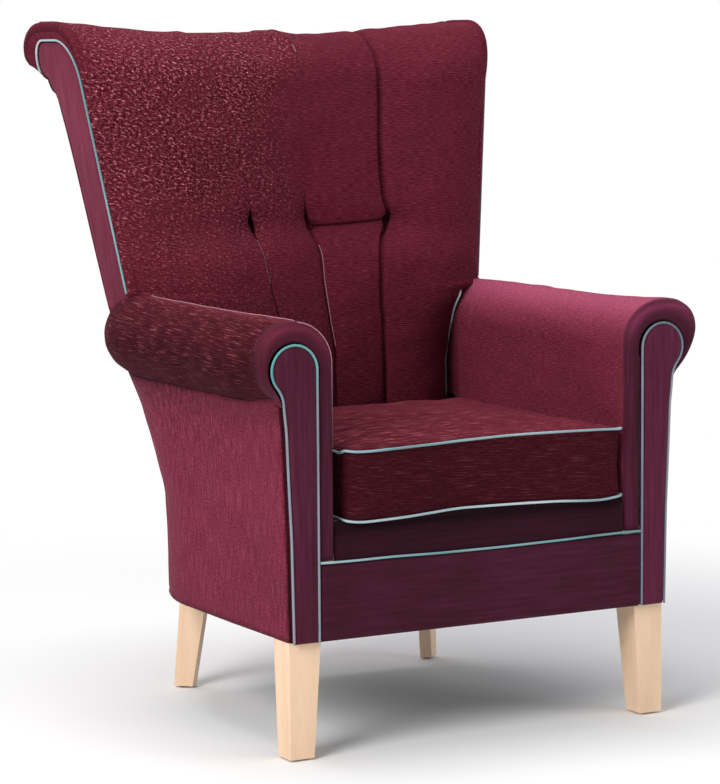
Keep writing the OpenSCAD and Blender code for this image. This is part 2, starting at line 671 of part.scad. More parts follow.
// Beside the turned-in arm roll the rear of the pad is narrower
function rear_narrow(z) = z > arm_h ? 1 : min(1,
    sqrt(pow(turned_in_r, 2) - pow(pad_rear_d(z) - roll_turn_d, 2)) / pad_hw(z));
function rear_point(c, z) = [column_x(c, z) * rear_narrow(z),
    at(is_lip(c) && z > arm_h ? pipe_d(z) + pipe_r - 2 * gap : pad_rear_d(z)), z];
// The scroll: over the big arc, round the tip and in to the outside back, dipping in the middle
pad_tip_r = tip_r + scroll_pad;
function dip_at(c) = top_dip * (1 - pow(column_x(c, scroll_h) / pad_hw(scroll_h), 2));
function back_meet_d(c) = seam_d(rail_low) + gap + bow(min(1, half_x(c, scroll_h) / seam_top_hw));
function last_angle(c) = -acos((back_meet_d(c) - tip_d) / pad_tip_r);
function big_point(c, s) =
    let (span = mix(scroll_d - front_d(half_x(c, scroll_h), scroll_h), scroll_r + scroll_pad,
            min(1, 1.2 * s)),
        z = scroll_h + (scroll_r + scroll_pad) * sin(90 * s))
    [column_x(c, z), at(scroll_d - span * cos(90 * s)), z - s * dip_at(c)];
function tip_point(c, b) =
    let (z = tip_h + pad_tip_r * sin(b))
    [column_x(c, z), at(tip_d + pad_tip_r * cos(b)), z - dip_at(c)];
function spot(c, p) = [column_x(c, p[1]), at(p[0]), p[1]];
big_shares = [0, 0.25, 0.5, 0.75, 1];
tip_angles = [60, 30, 0, -30, -60, -90];
// Inside, the rest follows the top rail and the lip follows the board, with some ease
// because the board's two faces lie at slightly different heights
board_ease = 1.3;
function off_arc(c, centre, r, step, angles) =
    [for (a = angles) spot(c, centre + chord_r(r + gap, step) * [cos(a), sin(a)])];
big_angles = [180 - lean, 150, 130, 110, 90];
round_angles = [180, 157.5, 135, 112.5, 90];
under_angles = [90, 45, 0, -45, -90];
function inner_scroll(c) = is_lip(c)
    ? concat(
        off_arc(c, [scroll_d, scroll_h], board_r + board_ease, 20, big_angles),
        off_arc(c, [tip_d, tip_h], board_tip_r + board_ease, 45, under_angles),
        [spot(c, [hollow_d, hollow_h] + (hollow_r - board_ease) * [cos(135), sin(135)]),
            spot(c, [back_meet_d(c) + gap, hollow_h])])
    : concat(
        off_arc(c, rail_round_spot, rail_round, 22.5, round_angles),
        off_arc(c, [tip_d, rail_tip_h], board_tip_r, 45, under_angles),
        [for (s = [0.5, 1]) spot(c, [mix(tip_d, back_meet_d(c) + gap, s), rail_low - gap])]);
// Which rear or inner point each front point faces at the pad's side
function rows_below(z) = len([for (h = rear_heights) if (h <= z) h]) - 1;
pad_links = concat(
    [for (z = row_heights) rows_below(z)],
    [for (i = [0 : len(big_shares) - 1]) len(rear_heights) + i],
    [for (i = [1, 1, 2, 3, 3, 4, 5, 6]) len(rear_heights) + len(big_angles) + i]);
module inner_back() {
    fronts = [for (c = columns) concat(
        [for (z = row_heights) [column_x(c, z), at(front_d(half_x(c, z), z)), z]],
        [for (s = big_shares) big_point(c, s)],
        [for (b = tip_angles) tip_point(c, b)],
        [for (s = [0.5, 1]) tip_point(c, mix(-90, last_angle(c), s))])];
    color(wine) skin([for (i = [0 : len(columns) - 1]) let (c = columns[i]) concat(
        fronts[i], reversed(inner_scroll(c)), reversed([for (z = rear_heights) rear_point(c, z)]))],
        pad_links);
}

// Outside back: a bowed panel from corner seam to corner seam, tucked under the top rail
back_rows = concat(body_rows, [rail_low - gap]);
function back_point(s, z, inset) = [s * seam_x(z), at(seam_d(z) - inset + bow(s)), z];
module outside_back() {
    color(wine) skin([for (s = back_cols) concat(
        [for (z = back_rows) back_point(s, z, shell_t)],
        reversed([for (z = back_rows) back_point(s, z, 0)]))], straight(len(back_rows)));
}

// Outside arm: a thin curved panel from the arm front round to the rear corner seam, which
// leaves the corner itself to the outside back
arm_row_shares = [0, 0.45, 0.62, 0.81, 1];
arm_rows = [for (s = arm_row_shares) mix(leg_h, panel_top_h, s)];
corner_turn = (shell_t + gap) / barrel_r * 180 / PI;
function panel_shares(z) = [for (s = arc_shares) s * (1 - corner_turn / turn_at(z))];
panel_columns = concat([for (s = [0, 0.5]) [0, s]], [for (i = [0 : len(arc_shares) - 1]) [1, i]]);
function panel_point(c, z, inset) = concat(
    c[0] == 0 ? on_side(z, c[1], inset, front_t) : on_arc(z, panel_shares(z)[c[1]], inset), [z]);
module outside_arm() {
    color(wine) skin([for (c = panel_columns) concat(
        [for (z = arm_rows) panel_point(c, z, 0)],
        reversed([for (z = arm_rows) panel_point(c, z, shell_t)]))], straight(len(arm_rows)));
}

// Arm padding: straight along the seat, with its outer lobe turned in behind the back
pad_front_d = front_t / 3;
pad_past = 6;
pad_stop_d = seat_d + pad_past;
arm_end_d = post_front_d(cushion_top) - gap;
// The lobe leaves room for the back post, and ends at the outside back
lobe_heights = [for (i = [3 : 7]) body_rows[i]];
module arm_lobe() {
    difference() {
        translate([0, at(roll_turn_d), 0]) rotate_extrude(angle = roll_turn) arm_lobe_shape();
        upright(arm_end_d, chair_d) polygon(concat([[0, body_rows[3]]],
            [for (z = lobe_heights) [back_post_out(z) + gap, z]], [[0, body_rows[7]]]));
        crosswise(0, chair_d) translate([front_y, 0]) polygon(concat([[chair_d, body_rows[3]]],
            [for (z = lobe_heights) [board_rear_d(z), z]], [[chair_d, body_rows[7]]]));
    }
}
module arm_pad() {
    color(wine) {
        upright(pad_front_d, front_t - gap) arm_pad_shape(lip_low);
        upright(pad_front_d, roll_turn_d) arm_pad_shape(arm_foot_h);
        upright(roll_turn_d - over, pad_stop_d) arm_inner_shape(tacking_top + gap);
        upright(pad_stop_d - over, arm_end_d) arm_inner_shape(cushion_top);
        arm_lobe();
    }
}
// Arm front with a rebate round its face, and the piping that lies in the rebate
module arm_front() {
    rebate = 2 * pipe_r + gap;
    color(plum) {
        upright(0, rebate) polygon(arm_outline(-rebate));
        upright(rebate, front_t) polygon(arm_outline(0));
    }
}
module arm_piping() {
    color(teal) tube([for (p = arm_outline(-pipe_r - gap / 2)) [p[0], at(pipe_r), p[1]]], pipe_r, 6);
}
// Piping in the seam between the back and the arm, just ahead of the pad's edge
seam_pipe_r = 0.8 * pipe_r;
seam_stand = 8;
seam_heights = concat([for (s = [0, 0.25, 0.5, 0.75, 1]) mix(cushion_top, roll_h, s)],
    [mix(roll_h, arm_h, 0.4)]);
module seam_piping() {
    color(teal) tube([for (z = seam_heights) [pad_hw(z) - seam_pipe_r, at(edge_d(z) - seam_stand), z]],
        seam_pipe_r, 8);
}

// Seat front
lip_low = border_h + 2 * pipe_r + gap;
border_hw = front_in_x - gap;
border_recess = 0.6;
module front_border() {
    color(plum) bar(-border_hw, border_hw, border_recess, front_t - gap, leg_h, border_h);
}
module border_piping() {
    color(teal) translate([-border_hw, at(pipe_r), border_h + pipe_r]) rotate([0, 90, 0])
        cylinder(2 * border_hw, r = pipe_r);
}
// Springs, with a clip over each end, and what lies on them
spring_t = 3.5;
clip_w = 12;
clip_h = 2 * spring_t;
deck_top = cushion_low - gap;
module deck_lip() {
    over_rail = rail_top_h + clip_h + gap;
    color(wine) crosswise(-seat_hw + gap, seat_hw - gap) translate([front_y, 0]) polygon([
        [pad_front_d, lip_low], [front_t - gap, lip_low], [front_t - gap, over_rail],
        [front_t + rail_t, over_rail], [front_t + rail_t, deck_top], [front_t, deck_top],
        [pad_front_d, deck_top - front_t]]);
}
module deck_pad() {
    color("dimgray") bar(-seat_hw + gap, seat_hw - gap, front_t + rail_t + gap,
        pad_rear_d(cushion_low) - 2 * over, rail_top_h + spring_t + gap, deck_top);
}
// Serpentine springs, drawn flat from the front rail to the rear rail
spring_pitch = 38;
spring_half = 22;
module spring_shape(length) {
    turns = floor(length / spring_pitch);
    step = (length - spring_t) / turns;
    for (i = [0 : turns]) translate([-spring_half, i * step]) square([2 * spring_half, spring_t]);
    for (i = [0 : turns - 1]) translate([i % 2 == 0 ? -spring_half : spring_half - spring_t, i * step])
        square([spring_t, step + spring_t]);
}
spring_from_d = front_t + rail_t / 2;
spring_to_d = post_rear_d(leg_h) - over - rail_t / 2;
spring_space = 2 * (seat_hw - 2 * spring_half) / springs;
module seat_springs() {
    color("silver")
    for (i = [0 : springs - 1])
        translate([(i - (springs - 1) / 2) * spring_space, at(spring_from_d), rail_top_h])
            linear_extrude(spring_t) spring_shape(spring_to_d - spring_from_d);
}
// A clip is a small saddle over the end bar of a spring
module spring_clips() {
    color("silver")
    for (i = [0 : springs - 1], d = [spring_from_d, spring_to_d - spring_t])
        translate([(i - (springs - 1) / 2) * spring_space, at(d), rail_top_h])
            difference() {
                translate([-clip_w / 2, -spring_t, 0]) cube([clip_w, 3 * spring_t, clip_h]);
                translate([-clip_w, -gap, -over])
                    cube([2 * clip_w, spring_t + 2 * gap, over + spring_t + gap]);
            }
}
strap_w = 50;
strap_shares = [0.12, 0.4, 0.68, 0.9];
module back_webbing() {
    color("tan") for (s = strap_shares) {
        low = mix(cushion_low + 4 * rail_t, neck_h - strap_w, s);
        x = back_post_out(low) - gap;
        skin([for (z = [low, low + strap_w]) let (f = at(post_front_d(z) - strap_t - 2 * gap))
            [[x, f, z], [-x, f, z], [-x, f + strap_t, z], [x, f + strap_t, z]]], straight(2));
    }
}
cover_t = 1;
module dust_cover() {
    hw = body_hw - 2 * shell_t;
    color("black") difference() {
        translate([0, 0, leg_h - cover_t]) linear_extrude(cover_t) polygon(concat(
            [on_side(leg_h, 0, 2 * shell_t, front_t)], [for (s = arc_shares) on_arc(leg_h, s, 2 * shell_t)],
            reversed([for (s = arc_shares) let (p = on_arc(leg_h, s, 2 * shell_t)) [-p[0], p[1]]]),
            [[-hw, at(front_t)]]));
        for (side = [-1, 1]) {
            translate([side * (body_hw - front_leg_top / 2), at(front_t + front_leg_top / 2), leg_h])
                cube([front_leg_top + 2 * cover_t, front_leg_top + 2 * cover_t, leg_h], center = true);
            translate([side * rear_top_x, at(rear_top_d), leg_h]) rotate([0, 0, side * 45])
                cube([rear_leg_top + 4 * cover_t, rear_leg_t + 4 * cover_t, leg_h], center = true);
        }
    }
}

// Loose seat cushion: crowned form with drawn-in sides, over a block of foam
cushion_hw = seat_hw - cushion_gap;
cushion_front_d = 2 * pipe_r + gap;
// Its rear piping just clears the crests of the side channels
crest_d = seat_d - seam_forward * forward_shares[1][1] - side_crown;
cushion_d = crest_d - 2 * cushion_front_d - gap;
corner_r = 22;
// Plan of the cushion: four sides that draw in between rounded corners
side_steps = [-1, -0.7, -0.35, 0, 0.35, 0.7, 1];
corner_share = 1 - 1 / sqrt(2);
function quarter(p, k) =
    k == 0 ? p : k == 1 ? [-p[1], p[0]] : k == 2 ? [-p[0], -p[1]] : [p[1], -p[0]];
function cushion_side(along, out, grow, k) =
    let (corner = corner_r * corner_share - grow * (1 - corner_share))
    [for (p = concat(
        [for (s = side_steps) [s * (along - corner_r), cushion_draw * (1 - pow(s, 2)) - grow - out]],
        [[along - corner, corner - out]])) quarter(p, k)];
function cushion_ring(grow) =
    let (hx = cushion_hw, hy = cushion_d / 2)
    [for (k = [0 : 3]) each cushion_side(k % 2 == 0 ? hx : hy, k % 2 == 0 ? hy : hx, grow, k)];
cushion_y = at(cushion_front_d) + cushion_d / 2;
// Shares of the crown's plan from the edge to the middle, and the rows of the border as
// shares of its height and of its draw
crown_shares = [0.97, 0.86, 0.66, 0.4, 0.15];
border_draw = 3.5;
border_shares = [[0.03, 0.3], [0.3, 0.85], [0.5, 1], [0.7, 0.85], [0.97, 0.3]];
function crown_at(s) = cushion_crown * (1 - pow(s, 2.6)) + pipe_r;
function plan_ring(s, grow, z) = [for (p = cushion_ring(grow)) [p[0] * s, p[1] * s + cushion_y, z]];
module cushion_form() {
    rings = concat(
        [for (s = reversed(crown_shares)) plan_ring(s, 0, cushion_top + crown_at(s))],
        [for (b = reversed(border_shares))
            plan_ring(1, -b[1] * border_draw, cushion_low + b[0] * cushion_border)],
        [for (s = crown_shares) plan_ring(s, 0, cushion_low)]);
    cols = len(rings[0]);
    rows = len(rings);
    function next(c) = (c + 1) % cols;
    polyhedron(
        points = concat([for (ring = rings) each ring],
            [[0, cushion_y, cushion_top + crown_at(0)], [0, cushion_y, cushion_low]]),
        faces = concat(skin_faces(rows, cols),
            [for (c = [0 : cols - 1]) [next(c), c, rows * cols]],
            [for (c = [0 : cols - 1], last = (rows - 1) * cols)
                [last + c, last + next(c), rows * cols + 1]]));
}
module foam_block(grow) {
    hx = cushion_hw - wrap_t + grow;
    hy = cushion_d / 2 - wrap_t + grow;
    translate([-hx, cushion_y - hy, cushion_low + wrap_t / 2 - grow])
        cube([2 * hx, 2 * hy, cushion_border - wrap_t / 2 + 2 * grow]);
}
module cushion_cover() {
    color(wine) difference() { cushion_form(); foam_block(gap); }
}
module cushion_foam() { color("khaki") foam_block(0); }
module cushion_loop(h) {
    color(teal) ring_tube([for (p = cushion_ring(pipe_r + gap)) [p[0], p[1] + cushion_y, h]], pipe_r, 6);
}
module cushion_piping_top() { cushion_loop(cushion_top); }
module cushion_piping_bottom() { cushion_loop(cushion_low + pipe_r); }
zip_t = 2;
zip_hw = 100;
module cushion_zip() {
    color("dimgray")
    translate([-zip_hw, cushion_y + cushion_d / 2 - 2 * border_draw, mix(cushion_low, cushion_top, 0.5)])
        cube([2 * zip_hw, zip_t, 2 * pipe_r]);
}

left() front_leg();  // front_leg_left
right() front_leg();  // front_leg_right
left() rear_leg();  // rear_leg_left
right() rear_leg();  // rear_leg_right
foot_glides();
leg_bolts();
front_seat_rail();
rear_seat_rail();
left() seat_rail();  // seat_rail_left
right() seat_rail();  // seat_rail_right
corner_blocks();
left() arm_post();  // arm_post_left
right() arm_post();  // arm_post_right
left() arm_rail();  // arm_rail_left
right() arm_rail();  // arm_rail_right
left() tacking_rail();  // tacking_rail_left
right() tacking_rail();  // tacking_rail_right
left() back_post();  // back_post_left
right() back_post();  // back_post_right
lower_back_rail();
middle_back_rail();
top_rail();
seat_springs();
spring_clips();
back_webbing();
deck_pad();
deck_lip();
dust_cover();
inner_back();
outside_back();
left() back_facing();  // back_facing_left
right() back_facing();  // back_facing_right
left() back_piping();  // back_piping_left
right() back_piping();  // back_piping_right
left() arm_pad();  // arm_pad_left
right() arm_pad();  // arm_pad_right
left() arm_front();  // arm_front_left
right() arm_front();  // arm_front_right
left() arm_piping();  // arm_piping_left
right() arm_piping();  // arm_piping_right
left() outside_arm();  // outside_arm_left
right() outside_arm();  // outside_arm_right
front_border();
border_piping();
left() seam_piping();  // seam_piping_left
right() seam_piping();  // seam_piping_right
cushion_cover();
cushion_foam();
cushion_piping_top();
cushion_piping_bottom();
cushion_zip();
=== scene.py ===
# %% [markdown]
# # A fireside chair in fabric
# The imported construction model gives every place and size. This lesson dresses it: soft covers,
# piping, threads and finishes, drawn by formula, each in the place of the solid it stands for.
# %% Load the frame
import math

import bmesh
import bpy
import numpy as np
from mathutils import Matrix, Vector
from mathutils.geometry import delaunay_2d_cdt


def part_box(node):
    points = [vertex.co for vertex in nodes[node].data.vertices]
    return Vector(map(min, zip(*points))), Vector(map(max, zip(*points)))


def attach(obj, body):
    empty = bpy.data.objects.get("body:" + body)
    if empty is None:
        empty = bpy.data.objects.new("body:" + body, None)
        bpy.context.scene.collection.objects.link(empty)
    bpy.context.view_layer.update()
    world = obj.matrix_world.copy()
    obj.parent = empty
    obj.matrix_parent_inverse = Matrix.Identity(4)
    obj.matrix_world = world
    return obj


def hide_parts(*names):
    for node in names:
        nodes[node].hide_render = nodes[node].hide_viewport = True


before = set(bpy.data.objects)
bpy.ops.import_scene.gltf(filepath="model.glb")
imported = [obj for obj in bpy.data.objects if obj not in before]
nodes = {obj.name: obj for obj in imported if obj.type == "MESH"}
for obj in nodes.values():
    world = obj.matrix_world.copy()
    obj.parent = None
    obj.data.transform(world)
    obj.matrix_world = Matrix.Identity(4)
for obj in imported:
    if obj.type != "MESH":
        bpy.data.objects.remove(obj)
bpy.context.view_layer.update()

# %% [markdown]
# ## Camera
# The photograph was taken with a long lens from the front left, a little above the seat. A camera
# can be turned by eye, but here its three angles are known, so its directions are written into
# its matrix: no rounding by hand comes between the photograph's view and this one.
# %% Camera
YAW, PITCH, ROLL = math.radians(-28.892), math.radians(6.621), math.radians(-0.416)
PHOTO_FOCAL_PX, PHOTO_LONG_PX, SENSOR_MM = 3043.7, 784, 36
camera_place = Vector((-2.3199, -4.2227, 1.0419))

look = Vector((-math.sin(YAW) * math.cos(PITCH), math.cos(YAW) * math.cos(PITCH), -math.sin(PITCH)))
level = Vector((math.cos(YAW), math.sin(YAW), 0))
above = level.cross(look)
right = level * math.cos(ROLL) + above * math.sin(ROLL)
up = above * math.cos(ROLL) - level * math.sin(ROLL)
camera_data = bpy.data.cameras.new("camera")
camera_data.lens = PHOTO_FOCAL_PX / PHOTO_LONG_PX * SENSOR_MM
camera_data.sensor_width = SENSOR_MM
camera = bpy.data.objects.new("camera", camera_data)
bpy.context.scene.collection.objects.link(camera)
camera.matrix_world = Matrix((
    (right.x, up.x, -look.x, camera_place.x),
    (right.y, up.y, -look.y, camera_place.y),
    (right.z, up.z, -look.z, camera_place.z),
    (0, 0, 0, 1)))
bpy.context.scene.camera = camera
print("camera: lens", round(camera_data.lens, 1), "mm")

# %% [markdown]
# ## Helpers for nodes
# Materials, the sky and the piping are all built from nodes. One small helper adds a node, sets
# it and wires it, so the cells below read like recipes.
# %% Node helpers
def feed(tree, socket, value):
    """Links a node's output to a socket, or sets the socket when it is a plain value."""
    if hasattr(value, "links"):
        tree.links.new(value, socket)
    else:
        socket.default_value = value


def put(tree, kind, fed=None, **settings):
    """Adds a node; fed gives its inputs by name or number, settings its other choices."""
    node = tree.nodes.new(kind)
    for key, value in settings.items():
        setattr(node, key, value)
    for key, value in (fed or {}).items():
        feed(tree, node.inputs[key], value)
    return node


def calc(tree, operation, a, b=0.0, clamp=False):
    return put(tree, "ShaderNodeMath", {0: a, 1: b}, operation=operation, use_clamp=clamp).outputs[0]


# %% [markdown]
# ## Studio
# A pale floor takes the chair's soft shadow, and three large lamps with a dim sky light it
# evenly. A white background could come from more light, but that would wash out the cloth. So
# the sky is white only where the camera, a reflection or glass looks at it, and the floor fades
# to white only for the camera.
# %% Sky
SKY_STRENGTH = 0.42
SKY_BLUE, WHITE = (0.93, 0.95, 1.0, 1), (1, 1, 1, 1)
world = bpy.data.worlds.new("sky")
bpy.context.scene.world = world
world.use_nodes = True
sky_tree = world.node_tree
sky_tree.nodes.clear()
sky = put(sky_tree, "ShaderNodeBackground", {"Color": SKY_BLUE, "Strength": SKY_STRENGTH})
white_sky = put(sky_tree, "ShaderNodeBackground", {"Color": WHITE, "Strength": 1.0})
sky_path = put(sky_tree, "ShaderNodeLightPath").outputs
mirrored_ray = calc(sky_tree, "MAXIMUM", sky_path["Is Glossy Ray"], sky_path["Is Transmission Ray"])
seen = calc(sky_tree, "MAXIMUM", sky_path["Is Camera Ray"], mirrored_ray)
sky_mix = put(sky_tree, "ShaderNodeMixShader", {0: seen, 1: sky.outputs[0], 2: white_sky.outputs[0]})
put(sky_tree, "ShaderNodeOutputWorld", {"Surface": sky_mix.outputs[0]})
print("sky strength", SKY_STRENGTH)

# %% Floor
FLOOR_HALF = 9.0
FADE_FROM, FADE_TO = 0.75, 1.7
floor_mesh = bpy.data.meshes.new("floor")
floor_mesh.from_pydata(
    [(-FLOOR_HALF, -FLOOR_HALF, 0), (FLOOR_HALF, -FLOOR_HALF, 0),
     (FLOOR_HALF, FLOOR_HALF, 0), (-FLOOR_HALF, FLOOR_HALF, 0)], [], [(0, 1, 2, 3)])
floor = bpy.data.objects.new("floor", floor_mesh)
bpy.context.scene.collection.objects.link(floor)
floor_paint = bpy.data.materials.new("pale_floor")
floor_paint.use_nodes = True
floor_tree = floor_paint.node_tree
floor_shader = floor_tree.nodes["Principled BSDF"]
floor_shader.inputs["Base Color"].default_value = (0.93, 0.93, 0.93, 1)
floor_shader.inputs["Roughness"].default_value = 0.9
floor_shader.inputs["Specular IOR Level"].default_value = 0.0
floor_spot = put(floor_tree, "ShaderNodeTexCoord").outputs["Object"]
away_from_chair = put(floor_tree, "ShaderNodeVectorMath", {0: floor_spot}, operation="LENGTH")
fade = put(floor_tree, "ShaderNodeMapRange",
           {"Value": away_from_chair.outputs["Value"], "From Min": FADE_FROM, "From Max": FADE_TO},
           interpolation_type="SMOOTHSTEP")
camera_ray = put(floor_tree, "ShaderNodeLightPath").outputs["Is Camera Ray"]
faded = calc(floor_tree, "MULTIPLY", fade.outputs["Result"], camera_ray)
floor_white = put(floor_tree, "ShaderNodeEmission", {"Color": WHITE})
floor_mix = put(floor_tree, "ShaderNodeMixShader",
                {0: faded, 1: floor_shader.outputs[0], 2: floor_white.outputs[0]})
feed(floor_tree, floor_tree.nodes["Material Output"].inputs["Surface"], floor_mix.outputs[0])
floor.data.materials.append(floor_paint)
print("floor:", 2 * FLOOR_HALF, "m across, white from", FADE_TO, "m on")


# %% Lamps
def lamp(name, place, size, watts, colour):
    """A round soft lamp that shines at the middle of the chair."""
    data = bpy.data.lights.new(name, "AREA")
    data.shape, data.size, data.energy, data.color = "DISK", size, watts, colour
    made = bpy.data.objects.new(name, data)
    bpy.context.scene.collection.objects.link(made)
    made.location = place
    made.rotation_euler = (chair_middle - Vector(place)).to_track_quat("-Z", "Y").to_euler()


chair_middle = Vector((0.0, 0.0, 0.55))
lamp("key_lamp", (-3.6, -2.0, 2.7), 2.2, 150, (1.0, 0.98, 0.96))
lamp("fill_lamp", (3.0, -3.4, 1.6), 2.6, 36, (0.96, 0.98, 1.0))
lamp("top_lamp", (-0.2, 0.6, 3.6), 2.4, 62, (1.0, 1.0, 1.0))
bpy.context.scene.view_settings.view_transform = "Standard"
print("studio: 3 lamps")

# %% [markdown]
# ## Sizes
# The skins follow the solids that they dress, so the chair's own sizes come first, in
# millimetres. Heights are above the floor, depths are behind the plane of the arm fronts, and
# the frame's own origin is under the middle of the chair. Each cell could measure the solids
# again, but with names the formulas can be read.
# %% Sizes of the body
GAP = 0.3
leg_h, border_h, cushion_low, cushion_top = 175.0, 287.0, 345.0, 451.0
arm_h, tuft_h, neck_h, scroll_h = 643.0, 740.0, 947.0, 963.0
seat_hw, roll_r, arm_pad_t, pipe_r, shell_t, wing_t = 251.0, 64.0, 27.0, 2.5, 5.0, 10.0
roll_h, roll_x = arm_h - roll_r, seat_hw + roll_r
front_in_x = seat_hw + arm_pad_t
front_scroll_r = roll_r - 25.0
scroll_x, front_scroll_h = front_in_x + front_scroll_r, roll_h - 7.0
body_top_hw = roll_x + 22.0
body_hw = body_top_hw - 13.0
seam_low_hw = body_hw - 82.0
flare, rake = 0.145, 0.1656
back_hw = roll_x + 7.4
seam_top_hw = back_hw + (neck_h - arm_h) * flare
seat_d, front_t = 488.0, 12.0
roll_turn_d, roll_turn = seat_d - 43.0, 32.0
back_front_d, seam_low_d = seat_d + 70.0, seat_d + 71.0
lean = math.atan(rake)
scroll_r, tip_r, scroll_pad, top_dip, barrel_r, back_bow = 80.0, 32.0, 30.0, 24.0, 325.0, 18.0
scroll_d = back_front_d + (scroll_h - arm_h) * rake + scroll_r / math.cos(lean)
tip_d, tip_h = scroll_d + 51.0, scroll_h + scroll_r - tip_r
seam_top_d = tip_d - 22.0
chair_d = tip_d + tip_r + scroll_pad
front_y = -chair_d / 2


def mix(a, b, t):
    return a + (b - a) * t


# %% [markdown]
# ## Lines of the body
# The rear corner seam climbs outwards and backwards in a slow curve. It is kept as a few shares
# of its travel, and everything that touches the corner reads them. A curve object could hold it
# too, but a function of height can be asked for a point anywhere.
# %% Curves that the panels follow
body_shares = np.array([0, 0.2, 0.273, 0.365, 0.457, 0.523, 0.569, 0.648, 0.927, 1])
out_shares = [0, 0.012, 0.105, 0.26, 0.46, 0.556, 0.613, 0.685, 0.935, 1]
rear_shares = [0, 0.036, 0.115, 0.23, 0.364, 0.473, 0.521, 0.606, 0.897, 1]
body_rows = mix(leg_h, neck_h, body_shares)
neck_slope = (seam_top_d - seam_low_d) * (1 - rear_shares[8]) / (neck_h - body_rows[8])


def eased(x, xs, ys):
    """A smooth line through points that never overshoots them."""
    xs, ys = np.asarray(xs, float), np.asarray(ys, float)
    wide, slope = np.diff(xs), np.diff(ys) / np.diff(xs)
    grade = np.zeros_like(ys)
    grade[0], grade[-1] = slope[0], slope[-1]
    for i in range(1, len(xs) - 1):
        if slope[i - 1] * slope[i] > 0:
            near, far = 2 * wide[i] + wide[i - 1], wide[i] + 2 * wide[i - 1]
            grade[i] = (near + far) / (near / slope[i - 1] + far / slope[i])
    x = np.clip(x, xs[0], xs[-1])
    i = np.clip(np.searchsorted(xs, x, side="right") - 1, 0, len(xs) - 2)
    t = (x - xs[i]) / wide[i]
    return ((2 * t ** 3 - 3 * t ** 2 + 1) * ys[i] + (t ** 3 - 2 * t ** 2 + t) * wide[i] * grade[i]
            + (3 * t ** 2 - 2 * t ** 3) * ys[i + 1] + (t ** 3 - t ** 2) * wide[i] * grade[i + 1])


def seam_x(z):
    return mix(seam_low_hw, seam_top_hw, eased(z, body_rows, out_shares))


def seam_d(z):
    return (mix(seam_low_d, seam_top_d, eased(z, body_rows, rear_shares))
            + np.maximum(0, z - neck_h) * neck_slope)


panel_top_h = roll_h - math.sqrt(roll_r ** 2 - (body_top_hw - roll_x) ** 2) - GAP


def side_x(z):
    share = np.interp((z - leg_h) / (panel_top_h - leg_h), [0, 0.44, 0.69, 0.9, 1], [0, 0.2, 0.5, 0.72, 1])
    return mix(body_hw, body_top_hw, share)


def back_x(z):
    return back_hw + (z - arm_h) * flare


def pipe_d(z):
    return back_front_d + (z - arm_h) * rake


# %% [markdown]
# ## Helpers for meshes
# Every skin is a net of points. Each point also carries its place on the flat cloth, in metres,
# in an attribute called cloth, so a weave follows the fabric round every curve. A UV map could
# hold this too; a named attribute is simpler to write and to read back in a node group.
# %% Mesh helpers
MM = 0.001


def to_frame(points):
    """Points as half width, depth and height in millimetres, turned into the frame's metres."""
    points = np.asarray(points, float)
    return np.stack([points[..., 0], points[..., 1] + front_y, points[..., 2]], -1) * MM


def points_of(mesh):
    """A mesh's points as half width, depth and height in millimetres."""
    points = np.array([v.co for v in mesh.vertices]) / MM
    points[:, 1] -= front_y
    return points


def box_mm(node):
    """The two corners of a node's box, as half width, depth and height in millimetres."""
    low, high = (np.array(corner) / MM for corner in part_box(node))
    return low - (0, front_y, 0), high - (0, front_y, 0)


def in_scene(name, mesh):
    made = bpy.data.objects.new(name, mesh)
    bpy.context.scene.collection.objects.link(made)
    return made


def set_cloth(mesh, flat):
    """Writes each point's place on the flat cloth, given in millimetres."""
    places = np.zeros((len(flat), 3), np.float32)
    places[:, :2] = flat * MM
    mesh.attributes.new("cloth", "FLOAT_VECTOR", "POINT").data.foreach_set("vector", places.ravel())


def set_pile(mesh, nap_and_light, crush=0.0, streak=0.0):
    """Painted light and shade with the nap's own lightness (one is plain), and how crushed and streaked the
    pile is.
    """
    for name, value in (("nap_and_light", nap_and_light), ("crush", crush), ("streak", streak)):
        layer = mesh.attributes.new(name, "FLOAT", "POINT")
        value = np.asarray(value, float)
        layer.data.foreach_set("value", np.broadcast_to(
            value.ravel() if value.ndim else value, len(mesh.vertices)).astype(np.float32))


def add_piece(name, verts, faces, cloth=None, material=None, nap_and_light=1.0, crush=0.0, streak=0.0,
              second=None, in_second=None):
    """Adds a mesh; verts are rows of half width, depth and height in millimetres."""
    verts = np.asarray(verts, float).reshape(-1, 3)
    mesh = bpy.data.meshes.new(name)
    mesh.from_pydata(to_frame(verts).tolist(), [], [list(map(int, f)) for f in faces])
    if cloth is not None:
        set_cloth(mesh, np.asarray(cloth, float).reshape(-1, 2))
    set_pile(mesh, nap_and_light, crush, streak)
    made = in_scene(name, mesh)
    if material:
        mesh.materials.append(material)
    if second:
        mesh.materials.append(second)
        mesh.polygons.foreach_set("material_index", [int(i) for i in in_second])
    outward(made)
    mesh.polygons.foreach_set("use_smooth", [True] * len(mesh.polygons))
    return made


def outward(piece):
    """Merges doubles and turns all faces outwards."""
    net = bmesh.new()
    net.from_mesh(piece.data)
    bmesh.ops.remove_doubles(net, verts=net.verts, dist=1e-6)
    bmesh.ops.recalc_face_normals(net, faces=net.faces)
    net.to_mesh(piece.data)
    net.free()


def net_faces(rows, cols, start=0):
    return [(start + r * cols + c, start + r * cols + c + 1, start + (r + 1) * cols + c + 1,
             start + (r + 1) * cols + c) for r in range(rows - 1) for c in range(cols - 1)]


